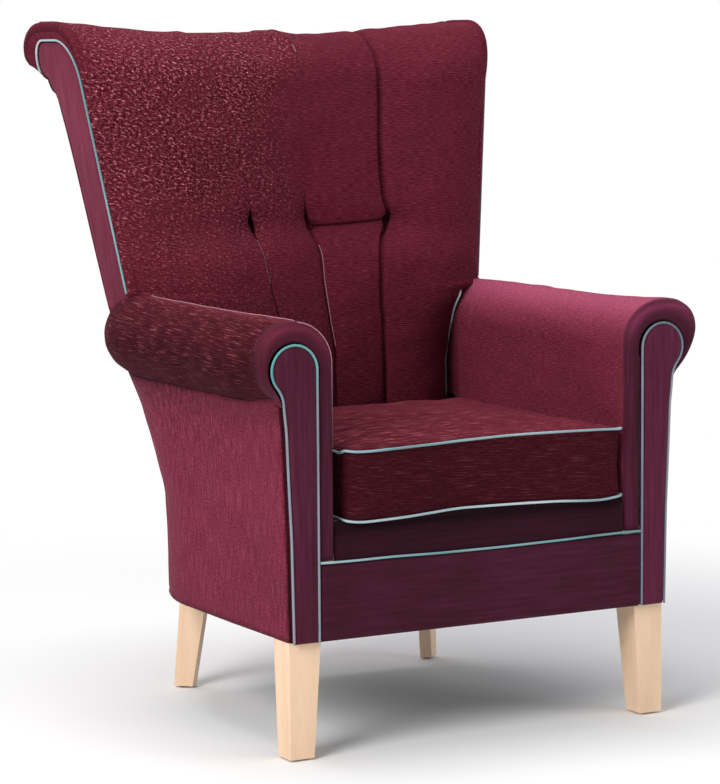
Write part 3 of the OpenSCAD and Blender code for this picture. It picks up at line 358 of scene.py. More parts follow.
def shell(front, back):
    """Vertices and faces of a closed shell between two nets of the same size."""
    rows, cols = front.shape[:2]
    n = rows * cols
    faces = net_faces(rows, cols) + [f[::-1] for f in net_faces(rows, cols, n)]
    rim = ([(0, c) for c in range(cols)] + [(r, cols - 1) for r in range(1, rows)]
           + [(rows - 1, c) for c in range(cols - 2, -1, -1)] + [(r, 0) for r in range(rows - 2, 0, -1)])
    loop = [r * cols + c for r, c in rim]
    faces += [(loop[i], loop[i - 1], loop[i - 1] + n, loop[i] + n) for i in range(len(loop))]
    return np.concatenate([front.reshape(-1, 3), back.reshape(-1, 3)]), faces


def lined(values, behind):
    """Values for both nets of a shell: these on the front, one value all over the rear."""
    return np.concatenate([values.ravel(), np.full(values.size, float(behind))])


def finish_with(piece, body, slot, *stands_for):
    """Rides a piece on its body and hides the solids that it stands for; slot is not used."""
    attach(piece, body)
    if stands_for:
        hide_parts(*stands_for)
    print(f"{piece.name}: {len(piece.data.polygons)} faces, rides on {body}")
    return piece


def steps(start, stop, size):
    """Values from start to stop, about a size apart."""
    return np.linspace(start, stop, max(2, int(round(abs(stop - start) / size)) + 1))


print("mesh helpers ready; one millimetre is", MM, "m")

# %% [markdown]
# ## Cloths
# Each finish is drawn by formula instead of painted or photographed, so it has detail at any
# distance. The cloths read the flat place of their own weave, which each net carries in an
# attribute called cloth: the weave follows the fabric round a curve and stays put in any view.
# Three more attributes say how light the pile is painted, partly for the lie of its nap and
# partly as painted light and shade, where it is crushed (crush) and where it is drawn out in
# strokes (streak).
# %% Material helpers
def paint(name, rough=0.8, sheen=0.0, sheen_tint=(1, 1, 1), metallic=0.0, specular=0.3):
    made = bpy.data.materials.new(name)
    made.use_nodes = True
    shader = made.node_tree.nodes["Principled BSDF"]
    shader.inputs["Roughness"].default_value = rough
    shader.inputs["Metallic"].default_value = metallic
    shader.inputs["Specular IOR Level"].default_value = specular
    if sheen:
        shader.inputs["Sheen Weight"].default_value = sheen
        shader.inputs["Sheen Roughness"].default_value = 0.45
        shader.inputs["Sheen Tint"].default_value = (*sheen_tint, 1)
    return made, made.node_tree, shader


def grey(value):
    return (value, value, value)


def grain(tree, vector, scale, detail=2.0, rough=0.5):
    """Noise stretched by its scale, so that it can run one way like a nap or a grain."""
    place = put(tree, "ShaderNodeMapping", {"Vector": vector, "Scale": scale}).outputs[0]
    return put(tree, "ShaderNodeTexNoise",
               {"Vector": place, "Scale": 1.0, "Detail": detail, "Roughness": rough}).outputs["Fac"]


def slanted(tree, vector, angle, scale, detail, rough):
    """Grain turned by an angle before it is scaled, so it shows no rows."""
    turned = put(tree, "ShaderNodeVectorRotate", {"Vector": vector, "Angle": math.radians(angle)},
                 rotation_type="Z_AXIS").outputs["Vector"]
    return grain(tree, turned, scale, detail, rough)


def bands(tree, vector, scale, direction, distortion=0.0, detail=1.0):
    return put(tree, "ShaderNodeTexWave",
               {"Vector": vector, "Scale": scale, "Distortion": distortion, "Detail": detail},
               bands_direction=direction).outputs["Fac"]


def ramp(tree, factor, *stops):
    node = put(tree, "ShaderNodeValToRGB", {0: factor})
    while len(node.color_ramp.elements) < len(stops):
        node.color_ramp.elements.new(0.5)
    for element, (place, colour) in zip(node.color_ramp.elements, stops):
        element.position, element.color = place, (*colour, 1)
    return node.outputs[0]


def blend(tree, factor, a, b, kind="MIX"):
    a, b = ((*value, 1) if isinstance(value, tuple) else value for value in (a, b))
    return put(tree, "ShaderNodeMix", {0: factor, 6: a, 7: b}, data_type="RGBA", blend_type=kind).outputs[2]


def times(tree, a, b):
    return blend(tree, 1.0, a, b, "MULTIPLY")


def weighed(tree, *parts):
    """The sum of values, each with its weight."""
    terms = [calc(tree, "MULTIPLY", value, weight) for value, weight in parts]
    total = terms[0]
    for term in terms[1:]:
        total = calc(tree, "ADD", total, term)
    return total


def relief(tree, shader, height, depth):
    bump_node = put(tree, "ShaderNodeBump", {"Strength": 1.0, "Distance": depth, "Height": height})
    feed(tree, shader.inputs["Normal"], bump_node.outputs[0])


def object_place(tree):
    return put(tree, "ShaderNodeTexCoord").outputs["Object"]


def cloth_place(tree):
    return put(tree, "ShaderNodeAttribute", attribute_name="cloth").outputs["Vector"]


def pile(tree, name):
    return put(tree, "ShaderNodeAttribute", attribute_name=name).outputs["Fac"]


print("material helpers ready")

# %% [markdown]
# ## Wine chenille
# The inner back, arms and cushion wear a chenille: short tufted yarn in fine ribs. New, it is
# smooth and dark; where hands and backs have crushed it, its tufts show painted glints over
# painted shade, and on the arms the tufts are drawn out in strokes whose lightest parts are
# painted highlights. Three colour ramps hold those states, and the crush and streak attributes
# blend them. A picture of the cloth would repeat itself over so wide a back, and noise doesn't.
# %% Wine chenille
def make_chenille():
    made, tree, shader = paint("wine_chenille", 0.92, 0.10, (0.75, 0.16, 0.26), specular=0.04)
    flat, place = cloth_place(tree), object_place(tree)
    ribs = bands(tree, flat, 95, "Y", 3.0, 2.0)
    fine = grain(tree, flat, (85, 720, 1), 2.5, 0.6)
    tufts = slanted(tree, flat, 17, (170, 290, 1), 3.0, 0.7)
    small = slanted(tree, flat, -9, (380, 620, 1), 1.5, 0.5)
    strokes = slanted(tree, flat, 2.5, (26, 560, 1), 3.0, 0.6)
    patches = ramp(tree, grain(tree, place, grey(14), 3.0), (0.36, grey(0.62)), (0.58, grey(1.0)))
    crush = calc(tree, "MULTIPLY", pile(tree, "crush"), patches)
    smooth_tone = ramp(
        tree, fine, (0.30, (0.060, 0.0050, 0.0110)), (0.48, (0.106, 0.0112, 0.0225)),
        (0.64, (0.150, 0.0200, 0.0370)), (0.76, (0.230, 0.0500, 0.0800)))
    fleck = weighed(tree, (tufts, 0.72), (small, 0.28))
    # The crushed pile: painted glints on its tufts over painted shade between them
    fleck_tone = ramp(
        tree, fleck, (0.38, (0.026, 0.0016, 0.0042)), (0.47, (0.078, 0.0068, 0.0135)),
        (0.54, (0.150, 0.0230, 0.0360)), (0.60, (0.40, 0.100, 0.130)), (0.67, (0.95, 0.45, 0.48)))
    # The drawn-out tufts, whose lightest strokes are painted highlights
    stroke_tone = ramp(
        tree, strokes, (0.42, (0.040, 0.0032, 0.0066)), (0.52, (0.096, 0.0098, 0.0180)),
        (0.59, (0.150, 0.0200, 0.0320)), (0.67, (0.52, 0.150, 0.190)))
    tone = blend(tree, crush, smooth_tone, fleck_tone)
    tone = blend(tree, pile(tree, "streak"), tone, stroke_tone)
    worn = grain(tree, place, grey(3), 3.0)
    colour = times(tree, tone, ramp(tree, ribs, (0.0, grey(0.84)), (0.55, grey(1.0))))
    colour = times(tree, colour, ramp(tree, worn, (0.3, grey(0.86)), (0.7, grey(1.14))))
    # The pile's tone is scaled by painted light and shade, which also holds the nap's own lightness
    nap_and_light = pile(tree, "nap_and_light")
    colour = times(tree, colour, nap_and_light)
    # Where the painted light is strongest, a rose painted sheen is mixed in
    rose_painted_sheen = calc(tree, "MULTIPLY", calc(tree, "SUBTRACT", nap_and_light, 1.25), 0.32, clamp=True)
    feed(tree, shader.inputs["Base Color"], blend(tree, rose_painted_sheen, colour, (0.43, 0.115, 0.215)))
    feed(tree, shader.inputs["Roughness"], ramp(tree, fine, (0.3, grey(0.97)), (0.7, grey(0.84))))
    raised = calc(tree, "MULTIPLY", fleck, crush)
    relief(tree, shader, weighed(tree, (raised, 3.0), (fine, 0.8), (ribs, 0.3)), 0.0012)
    return made


chenille = make_chenille()
print("cloth:", chenille.name)

# %% [markdown]
# ## Wine velour
# The outside panels are a velour whose nap runs down. Leaning knees and walls have crushed it
# high on the sides, in creases that lean across the nap. Hair could be grown for the nap; noise
# stretched along the cloth shows the same direction at a small part of the cost.
# %% Wine velour
def make_velour():
    made, tree, shader = paint("wine_velour", 0.9, 0.12, (0.8, 0.35, 0.5), specular=0.06)
    flat, place = cloth_place(tree), object_place(tree)
    nap_and_light = grain(tree, flat, (330, 26, 1), 3.0, 0.6)
    fleck = grain(tree, flat, (230, 330, 1))
    broad = grain(tree, place, (2.5, 2.5, 5), 3.0)
    tone = ramp(tree, weighed(tree, (nap_and_light, 0.55), (fleck, 0.45)), (0.34, (0.084, 0.0066, 0.0155)),
                (0.5, (0.146, 0.0162, 0.0345)), (0.66, (0.238, 0.040, 0.074)))
    colour = times(tree, tone, ramp(tree, broad, (0.3, grey(0.86)), (0.7, grey(1.12))))
    creases = slanted(tree, flat, 24, (150, 62, 1), 4.0, 0.65)
    creased = ramp(tree, creases, (0.36, (0.58, 0.54, 0.56)), (0.50, grey(0.97)), (0.62, (1.32, 1.45, 1.42)))
    colour = blend(tree, pile(tree, "crush"), colour, times(tree, colour, creased))
    # The colour is scaled by each point's painted light and shade
    feed(tree, shader.inputs["Base Color"], times(tree, colour, pile(tree, "nap_and_light")))
    relief(tree, shader, calc(tree, "ADD", nap_and_light, fleck), 0.0006)
    return made


velour = make_velour()
print("cloth:", velour.name)

# %% [markdown]
# ## Plum plush
# The facings and the border are a close cut pile, cooler and plainer than the chenille, with
# faint streaks where it was brushed. It could share the velour's recipe, but its fibres are
# shorter, so its grain is finer. Its crush attribute makes a facing rosier.
# %% Plum plush
def make_plush():
    made, tree, shader = paint("plum_plush", 0.88, 0.14, (0.7, 0.4, 0.58), specular=0.06)
    flat, place = cloth_place(tree), object_place(tree)
    streak = grain(tree, flat, (150, 9, 1), 4.0, 0.6)
    cut = grain(tree, flat, (900, 900, 1), 1.0)
    broad = grain(tree, place, (6, 6, 3))
    tone = ramp(tree, weighed(tree, (streak, 0.6), (broad, 0.4)), (0.34, (0.054, 0.0084, 0.0198)),
                (0.5, (0.075, 0.0126, 0.0288)), (0.66, (0.100, 0.0205, 0.0430)))
    colour = times(tree, tone, ramp(tree, cut, (0.3, grey(0.88)), (0.7, grey(1.1))))
    colour = blend(tree, pile(tree, "crush"), colour, times(tree, colour, (1.9, 1.15, 1.02)))
    # The colour is scaled by each point's painted light and shade
    feed(tree, shader.inputs["Base Color"], times(tree, colour, pile(tree, "nap_and_light")))
    relief(tree, shader, weighed(tree, (cut, 1.0), (streak, 0.8)), 0.0005)
    return made


plush = make_plush()
print("cloth:", plush.name)

# %% [markdown]
# ## Piping and thread
# The piping is teal twill over a cord. It is paler in some places and lilac in others, which
# crush and streak say for each point. The thread is a pink twist. Both have slanting ribs, and a
# wave texture set to the diagonal draws those without a picture.
# %% Piping and thread
def make_piping():
    made, tree, shader = paint("teal_piping", 0.62, 0.25, (0.8, 0.95, 0.95))
    twill = bands(tree, cloth_place(tree), 260, "DIAGONAL", 0.4)
    wear = grain(tree, object_place(tree), grey(4.5))
    teal = ramp(tree, wear, (0.34, (0.040, 0.225, 0.235)), (0.5, (0.07, 0.31, 0.32)),
                (0.66, (0.15, 0.39, 0.39)))
    pale = ramp(tree, wear, (0.34, (0.28, 0.41, 0.46)), (0.5, (0.44, 0.58, 0.62)),
                (0.66, (0.66, 0.77, 0.80)))
    lilac = ramp(tree, wear, (0.34, (0.105, 0.070, 0.115)), (0.66, (0.21, 0.155, 0.225)))
    tone = blend(tree, pile(tree, "crush"), teal, pale)
    tone = blend(tree, pile(tree, "streak"), tone, lilac)
    weave = ramp(tree, twill, (0.0, grey(0.72)), (0.6, grey(1.05)))
    feed(tree, shader.inputs["Base Color"], times(tree, tone, weave))
    relief(tree, shader, twill, 0.0003)
    return made


def make_thread():
    made, tree, shader = paint("pink_thread", 0.6, 0.2, (1, 0.8, 0.85))
    twist = bands(tree, object_place(tree), 900, "DIAGONAL")
    tone = ramp(tree, twist, (0.2, (0.36, 0.14, 0.19)), (0.8, (0.62, 0.34, 0.40)))
    # The thread's colour is scaled by its painted light and shade
    feed(tree, shader.inputs["Base Color"], times(tree, tone, pile(tree, "nap_and_light")))
    relief(tree, shader, twist, 0.0002)
    return made


piping_cloth, thread = make_piping(), make_thread()
print("cloths:", piping_cloth.name, "and", thread.name)

# %% [markdown]
# ## Woods, metals and what lies inside
# The legs are waxed beech and the frame raw beech. Beech shows faint long bands and short dark
# flecks, so one recipe draws it and only the direction of the grain changes with the rail. The
# plain finishes inside share a recipe too: a small grain, with ribs where there is a weave.
# %% Beech
def make_beech(name, light, dark, rough, along_axis, fleck=0.5):
    made, tree, shader = paint(name, rough, specular=0.4)
    place = object_place(tree)
    across = [2.4 if axis == along_axis else 38 for axis in "XYZ"]
    close = [26 if axis == along_axis else 420 for axis in "XYZ"]
    figure = grain(tree, place, across, 4.0, 0.55)
    flecks = grain(tree, place, close, 1.0)
    middle = tuple(mix(a, b, 0.5) for a, b in zip(light, dark))
    tone = ramp(tree, figure, (0.33, dark), (0.5, middle), (0.66, light))
    speck = ramp(tree, flecks, (0.28, grey(1 - 0.35 * fleck)), (0.42, grey(1.0)))
    feed(tree, shader.inputs["Base Color"], times(tree, tone, speck))
    feed(tree, shader.inputs["Roughness"],
         ramp(tree, figure, (0.3, grey(rough + 0.1)), (0.7, grey(rough - 0.06))))
    relief(tree, shader, weighed(tree, (flecks, 1.0), (figure, 0.5)), 0.0003)
    return made


RAW_LIGHT, RAW_DARK = (0.62, 0.44, 0.27), (0.46, 0.30, 0.17)
finish_of = {"leg_beech": make_beech("leg_beech", (0.84, 0.60, 0.41), (0.76, 0.52, 0.335), 0.42, "Z", 0.3)}
for name, axis in (("raw_beech_up", "Z"), ("raw_beech_across", "X"), ("raw_beech_along", "Y")):
    finish_of[name] = make_beech(name, RAW_LIGHT, RAW_DARK, 0.72, axis)
print("woods:", ", ".join(finish_of))


# %% Metals, webbing, felt and linings
def make_plain(name, low, high, rough, fine, metallic=0.0, depth=0.0003, rib_axis=None):
    made, tree, shader = paint(name, rough, metallic=metallic, specular=0.4)
    place = object_place(tree)
    speckle = grain(tree, place, grey(fine), 3.0)
    if rib_axis:
        speckle = weighed(tree, (speckle, 0.5), (bands(tree, place, 130, rib_axis, 0.6), 0.5))
    feed(tree, shader.inputs["Base Color"], ramp(tree, speckle, (0.32, low), (0.68, high)))
    feed(tree, shader.inputs["Roughness"],
         ramp(tree, speckle, (0.3, grey(min(1, rough + 0.08))), (0.7, grey(rough - 0.08))))
    relief(tree, shader, speckle, depth)
    return made


for row in (
        ("glide_felt", (0.05, 0.05, 0.05), (0.12, 0.11, 0.10), 0.6, 900),
        ("spring_wire", (0.30, 0.31, 0.32), (0.52, 0.53, 0.54), 0.38, 300, 1.0, 0.0001),
        ("webbing_tape", (0.30, 0.22, 0.12), (0.52, 0.40, 0.24), 0.85, 500, 0, 0.0006, "X"),
        ("deck_felt", (0.10, 0.10, 0.10), (0.24, 0.23, 0.22), 0.95, 240, 0, 0.0012),
        ("lining_cloth", (0.010, 0.010, 0.011), (0.030, 0.029, 0.031), 0.9, 900, 0, 0.0004, "Y"),
        ("zip_tape", (0.030, 0.012, 0.020), (0.075, 0.03, 0.05), 0.8, 700, 0, 0.0004, "X")):
    finish_of[row[0]] = make_plain(*row)
print("plain finishes:", ", ".join(list(finish_of)[4:]))

# %% [markdown]
# ## The inner back
# On the real chair this is one padded cover over the frame. Three sewn seams part it into four
# upright channels, three tufts pull the seams in a third of the way down, and the cover rolls
# over the scrolled top. A net of points is drawn through its curves, close set beside the seams,
# because a seam is narrower than any even mesh could hold. Sculpting by hand would also do, but
# formulas keep the cover on the boards, arms and cushion that it has to meet.
# %% Curves of the back
def smooth_step(x, low, high):
    t = np.clip((x - low) / (high - low), 0, 1)
    return t * t * (3 - 2 * t)


def bump(x, middle, half):
    return np.exp(-((x - middle) / half) ** 2)


valley_heights = [cushion_low, cushion_top, mix(leg_h, neck_h, 0.48), mix(leg_h, neck_h, 0.566),
                  mix(leg_h, neck_h, 0.665), tuft_h, mix(tuft_h, neck_h, 0.28),
                  mix(tuft_h, neck_h, 0.73), scroll_h]
valley_shares = [0, 0, 0.06, 0.19, 0.41, 0.68, 0.77, 0.88, 1]
CHANNEL_W, SIDE_W, CHANNEL_CROWN, SIDE_CROWN, TUFT_PULL = 126.0, 185.0, 11.0, 18.0, 12.0


def valley(z):
    return seat_d + 98 * eased(z, valley_heights, valley_shares)


def pad_share(z):
    return (z - cushion_low) / (scroll_h - cushion_low)


def forward_at(z):
    return 20 * eased(pad_share(z), [0, 0.35, 0.57, 1], [0.3, 0.35, 1, 0.6])


def channel_x(z):
    return CHANNEL_W * eased(pad_share(z), [0, 0.33, 0.48, 0.64, 0.83, 1, 1.2],
                             [0.7, 0.76, 0.92, 1, 1.07, 1.2, 1.28])


edge_shares = ([0, 0.18, 0.36, 0.55, 0.68, 0.82, 0.92, 0.965, 1],
               [1, 0.62, 0.33, 0.30, 0.52, 0.90, 1.08, 0.80, 0])


def edge_d(z):
    below = back_front_d - pipe_r - 42 * eased((z - cushion_low) / (arm_h - cushion_low), *edge_shares)
    return np.where(z > arm_h, pipe_d(z) - pipe_r, below)


turned_in_r = scroll_x - GAP


def pad_hw(z):
    dome = np.sqrt(np.clip(1 - ((z - roll_h) / roll_r) ** 2, 0, 1))
    over_roll = np.minimum(roll_x - (roll_r + 3.3) * dome,
                           np.sqrt(turned_in_r ** 2 - np.clip(edge_d(z) - roll_turn_d, 0, 300) ** 2))
    beside = np.where(z < roll_h, seat_hw - GAP, over_roll)
    return np.where(z > arm_h - 16, mix(over_roll, back_x(z), smooth_step(z, arm_h - 16, arm_h - 2)), beside)


def pull(z):
    return TUFT_PULL * bump(z, tuft_h, 20)


def front_d(x, z):
    """Depth of the padded surface at a half width and a height."""
    w, hw = channel_x(z), pad_hw(z)
    side = valley(z) - forward_at(z)
    u, v = np.clip(x / w, 0, 1), np.clip((x - w) / (hw - w), 0, 1)
    channel = (mix(valley(z), side, u ** 2) - CHANNEL_CROWN * np.sin(np.pi * u) ** 0.6
               + pull(z) * mix(0.35, 1, (2 * u - 1) ** 4))
    flank = (mix(side, edge_d(z), v ** 3) - SIDE_CROWN * np.sin(np.pi * v) ** 0.6
             + pull(z) * np.exp(-(v / 0.16) ** 2))
    return np.where(x <= w, channel, flank)


def post_front_d(z):
    return seam_d(z) - shell_t - 3 - 33


def pad_rear_d(z):
    return post_front_d(z) - 2 - 2 * GAP - 2


board_r, board_tip_r = scroll_r - pipe_r, tip_r - pipe_r
rail_tip_h = tip_h - top_dip
rail_low = rail_tip_h - board_tip_r
rail_round_spot = np.array([post_front_d(neck_h) + 25, rail_tip_h + board_tip_r - 25])
pad_tip_r = tip_r + scroll_pad
print("the back bows", back_bow, "mm and its roll is", pad_tip_r, "mm round at the tip")


# %% [markdown]
# The cover is one net: columns run up the back, over the scroll and down under its tip, and rows
# run across. A second net lies inside it, and the two close into a shell as thick as its wadding.
# %% The net of the inner back
def across_columns():
    """Half the columns, as kind and share, close set beside the seams and at the lip."""
    close = [0, 0.8, 1.8, 3.2, 5, 7.5]
    channel = ([c / CHANNEL_W for c in close] + list(np.linspace(0.1, 0.9, 16))
               + [1 - c / CHANNEL_W for c in close[::-1]])
    side = [c / SIDE_W for c in close[1:]] + list(np.linspace(0.075, 0.95, 22)) + [0.968, 0.984]
    return ([("channel", s) for s in channel] + [("side", s) for s in side]
            + [("inner", 1), ("lip", 1), ("lip", 0.5), ("lip", 0)])


def half_x(kind, share, z):
    hw = pad_hw(z)
    lip = np.where(z > arm_h, wing_t + GAP, 2 * GAP)
    if kind == "channel":
        return share * channel_x(z)
    if kind == "side":
        return mix(channel_x(z), hw - lip - 2 * GAP, share)
    return hw - lip - GAP if kind == "inner" else hw - share * lip


def walked(path):
    """How far along a line each of its points lies."""
    return np.concatenate([[0], np.cumsum(np.linalg.norm(np.diff(path, axis=0), axis=1))])


def along(path, count):
    """So many points along a line of points, evenly spaced."""
    path = np.asarray(path, float)
    run = walked(path)
    at = np.linspace(0, run[-1], count)
    return np.stack([np.interp(at, run, path[:, k]) for k in range(path.shape[1])], -1)


def round_points(centre, r, angles):
    a = np.radians(angles)
    return np.stack([centre[0] + r * np.cos(a), centre[1] + r * np.sin(a)], -1)


def back_bow_at(x):
    return back_bow * (1 - np.minimum(1, x / seam_top_hw) ** 2)


ROW_STEP, ROW_LEAST = 5.6, 0.4
NEAR_TUFT = [-7, -5, -3.4, -2.2, -1, 0, 1, 2.2, 3.4, 4.6, 6, 7.2, 8.4, 9.6, 11, 13]
NEAR_ARM_TOP = [0.1, 1.5, 3, 4.5]
front_rows = np.unique(np.concatenate([
    steps(cushion_low, scroll_h, ROW_STEP), tuft_h + np.array(NEAR_TUFT), arm_h + np.array(NEAR_ARM_TOP)]))
front_rows = front_rows[np.concatenate([[True], np.diff(front_rows) > ROW_LEAST])]
ARC_ROWS, TIP_ROWS, UNDER_ROWS = 30, 20, 16


def back_column(sign, kind, share):
    """Front and rear points of one column, from the seat up, over the scroll and under its tip."""
    x = half_x(kind, share, front_rows)
    front = [np.stack([x, front_d(x, front_rows), front_rows], -1)]
    top_x = float(half_x(kind, share, np.array(scroll_h)))
    dip = top_dip * (1 - (top_x / float(pad_hw(np.array(scroll_h)))) ** 2)
    s = np.linspace(0, 1, ARC_ROWS + 1)[1:]
    start = scroll_d - float(front_d(np.array(top_x), np.array(scroll_h)))
    span = mix(start, scroll_r + scroll_pad, smooth_step(s, -0.15, 1.0))
    z = scroll_h + (scroll_r + scroll_pad) * np.sin(np.pi / 2 * s)
    front.append(np.stack([half_x(kind, share, z), scroll_d - span * np.cos(np.pi / 2 * s), z - s * dip], -1))
    meet = float(seam_d(rail_low)) + GAP + float(back_bow_at(np.array(top_x)))
    last = -math.degrees(math.acos((meet - tip_d) / pad_tip_r))
    turn = np.radians(np.concatenate([
        np.linspace(90, 0, TIP_ROWS + 1)[1:], np.linspace(0, last, UNDER_ROWS + 1)[1:]]))
    # Beside the boards the cover is drawn in under the tip, and it stands a little prouder behind
    edge_share = float(smooth_step(np.array(top_x / float(pad_hw(np.array(scroll_h)))), 0.72, 1.0))
    below = top_dip - dip
    least = below * np.sin(-turn) + np.sqrt(
        (board_tip_r + 1.3) ** 2 - np.minimum((below * np.cos(turn)) ** 2, 800))
    prouder = eased(np.degrees(turn), (-97, -50, -30, -15, -5, 5, 14, 28, 45, 60, 75, 90),
                    (31, 33, 39, 51, 72, 83, 84, 79, 71, 65, 61.5, 60))
    radius = np.maximum(mix(pad_tip_r, prouder, edge_share), 31.0 if kind == "lip" else least)
    z = tip_h + radius * np.sin(turn)
    shelf = np.stack([half_x(kind, share, z), tip_d + radius * np.cos(turn), z - dip], -1)
    flat = np.stack([half_x(kind, share, np.full(6, z[0] + 0.1)), np.linspace(scroll_d, tip_d, 7)[1:],
                     np.full(6, tip_h + pad_tip_r - dip)], -1)
    front += [flat, shelf]
    front = np.concatenate(front)
    lip = kind == "lip"
    above = front_rows > arm_h
    narrow = np.where(above, 1, np.minimum(1, np.sqrt(
        turned_in_r ** 2 - np.clip(pad_rear_d(front_rows) - roll_turn_d, 0, 300) ** 2) / pad_hw(front_rows)))
    low_z = np.minimum(front_rows, neck_h)
    rear_depth = np.where(lip & above, pipe_d(front_rows) + pipe_r - 2 * GAP, pad_rear_d(low_z))
    rear = [np.stack([x * narrow, rear_depth, np.where(lip, front_rows, low_z)], -1)]
    if lip:
        inside = np.concatenate([
            round_points((scroll_d, scroll_h), board_r + 1.3, np.linspace(180 - math.degrees(lean), 90, 12)),
            round_points((tip_d, tip_h), board_tip_r + 1.3, np.linspace(90, -90, 12)),
            [[meet + GAP, tip_h - board_tip_r - 1.4]]])
    else:
        inside = np.concatenate([
            round_points(rail_round_spot, 25.3, np.linspace(180, 90, 6)),
            round_points((tip_d, rail_tip_h), board_tip_r + GAP, np.linspace(90, -90, 12)),
            [[meet + GAP, rail_low - GAP]]])
    inside = along(inside, len(front) - len(front_rows))
    rear.append(np.stack([half_x(kind, share, inside[:, 1]), inside[:, 0], inside[:, 1]], -1))
    rear = np.concatenate(rear)
    return front * (sign, 1, 1), rear * (sign, 1, 1)


half_columns = across_columns()
columns = [(-1, *c) for c in half_columns[:0:-1]] + [(1, *c) for c in half_columns]
pairs = [back_column(*c) for c in columns]
back_front = np.stack([p[0] for p in pairs], 1)
back_rear = np.stack([p[1] for p in pairs], 1)
print("inner back net:", back_front.shape[:2])

# %% [markdown]
# The seams aren't alike on the real chair. The one on the sitter's left is drawn in hard over its
# whole height, the middle one shows mostly under its tuft, and the one on the sitter's right
# gapes only at the tuft. Cloth simulated over pinned seams would make them all alike. Grooves
# cut along the net's own normals keep those differences.
# %% Normals and slow swellings
def net_normals(net):
    a, b = np.gradient(net, axis=0), np.gradient(net, axis=1)
    n = np.cross(a, b)
    return n / np.maximum(np.linalg.norm(n, axis=-1, keepdims=True), 1e-9)


WAVES = 9


def ripples(net, size, seed):
    """Slow uneven swelling, as a sum of fixed waves; about one either way."""
    dice = np.random.default_rng(seed)
    total = np.zeros(net.shape[:-1])
    for _ in range(WAVES):
        way = dice.normal(size=3)
        way *= 2 * np.pi / (size * dice.uniform(0.7, 1.6) * np.linalg.norm(way))
        total += np.sin(net @ way + dice.uniform(0, 2 * np.pi))
    return total / math.sqrt(WAVES)


print("slow swellings are sums of", WAVES, "waves")

# %% Seams that wander
# How far each seam stands off its even place, by height
drift_h = [460, 500, 540, 580, 620, 650, 680, 700, 720, 740, 752, 780, 820, 860, 900, 960]
drift_left = [8, 10, 13, 16, 19, 19, 18, 19, 20, 20, 17, 14, 11, 6.5, 4.7, 2.3]
drift_mid = [13, 13, 14, 10, 8, 7, 9, 10, 8, 7, 1, -3, -3, -1, 0.5, 0]
drift_right = [8, 8, 6.5, 3, -8, -12, -12, -9, 0, 15, 17, 7, 2, -0.5, -3, -6]
for net in (back_front, back_rear):
    w = channel_x(np.minimum(net[..., 2], scroll_h))
    hw = np.maximum(pad_hw(net[..., 2]) - 14, w + 30)
    spots = np.stack([-hw, -w, 0 * w, w, hw])
    moves = np.stack([0 * w, eased(net[..., 2], drift_h, drift_left), eased(net[..., 2], drift_h, drift_mid),
                      eased(net[..., 2], drift_h, drift_right), 0 * w])
    x = net[..., 0]
    shift = np.zeros_like(x)
    for k in range(4):
        part = (x > spots[k]) & (x <= spots[k + 1])
        t = smooth_step(x, spots[k], spots[k + 1])
        shift = np.where(part, mix(moves[k], moves[k + 1], t), shift)
    net[..., 0] += shift
print("seams drift by up to", max(map(abs, drift_left + drift_mid + drift_right)), "mm")

# %% Seams, tufts and folds pressed in
away = net_normals(back_front)
if away[20, len(columns) // 2, 1] > 0:
    away = -away
bx, bz = back_front[..., 0], back_front[..., 2]
row_run = walked(back_front[:, len(columns) // 2])
tuft_run = float(np.interp(tuft_h, front_rows, row_run[:len(front_rows)]))
run = np.repeat(row_run[:, None], len(columns), 1)
kind_of = np.array([kind for _, kind, _ in columns])
share_of = np.array([sign * (share if kind == "channel" else 1 + share * SIDE_W / CHANNEL_W)
                     for sign, kind, share in columns])
share_of = np.where(kind_of == "lip", 2.5 * np.sign(share_of), share_of)
from_mid = np.abs(share_of) * CHANNEL_W
from_right, from_left = np.abs(share_of - 1) * CHANNEL_W, np.abs(share_of + 1) * CHANNEL_W
top_fade = 1 - smooth_step(run, row_run[-1] * 0.80, row_run[-1] * 0.92)


def groove(distance, half):
    return np.exp(-(distance / half) ** 2)[None, :]


side_tuft, mid_tuft = tuft_run + 8, tuft_run - 1
mid_depth = (0.15 + 3.4 * bump(run, mid_tuft + 16, 22)
             + 2.6 * smooth_step(run, tuft_run + 5, tuft_run - 25))
left_depth = 0.5 + 12 * bump(run, side_tuft, 17) + 1.8 * smooth_step(run, tuft_run, tuft_run - 60)
deep = (7.5 * groove(from_right, 3.2) * top_fade + groove(from_mid, 2.6) * mid_depth * top_fade
        + groove(from_left, 2.0) * left_depth * top_fade)
deep = (deep + 7.0 * bump(run, side_tuft, 8) * groove(from_right, 9)
        + 5.0 * bump(run, mid_tuft, 7) * groove(from_mid, 8))
deep = deep + 3.0 * bump(run, side_tuft, 14) * groove(from_left, 6)
between = ((share_of > 0.02) & (share_of < 0.985))[None, :]
sag = mix(mid_tuft, side_tuft, np.clip(share_of, 0, 1) ** 1.3)[None, :]
deep = deep + np.where(between, 4.6 * bump(run, sag, 1.9) + 1.3 * bump(run, sag, 8), 0)
fold_line = side_tuft + 8 + 0.6 * np.clip(from_right[None, :], 0, 60)
fold = 2.4 * bump(run, fold_line, 4) * np.exp(-from_right[None, :] / 30)
deep = deep + np.where((share_of > 1)[None, :], fold, 0)
scroll_run = row_run[len(front_rows) - 1]
above_tuft = (smooth_step(run, side_tuft + 6, side_tuft + 55)
              * smooth_step(run, scroll_run + 40, scroll_run - 90))
below_tuft = smooth_step(run, tuft_run - 8, tuft_run - 60)
deep = (deep - 7.0 * above_tuft * groove(from_left, 22) * top_fade
        - 2.5 * below_tuft * groove(from_left, 22))
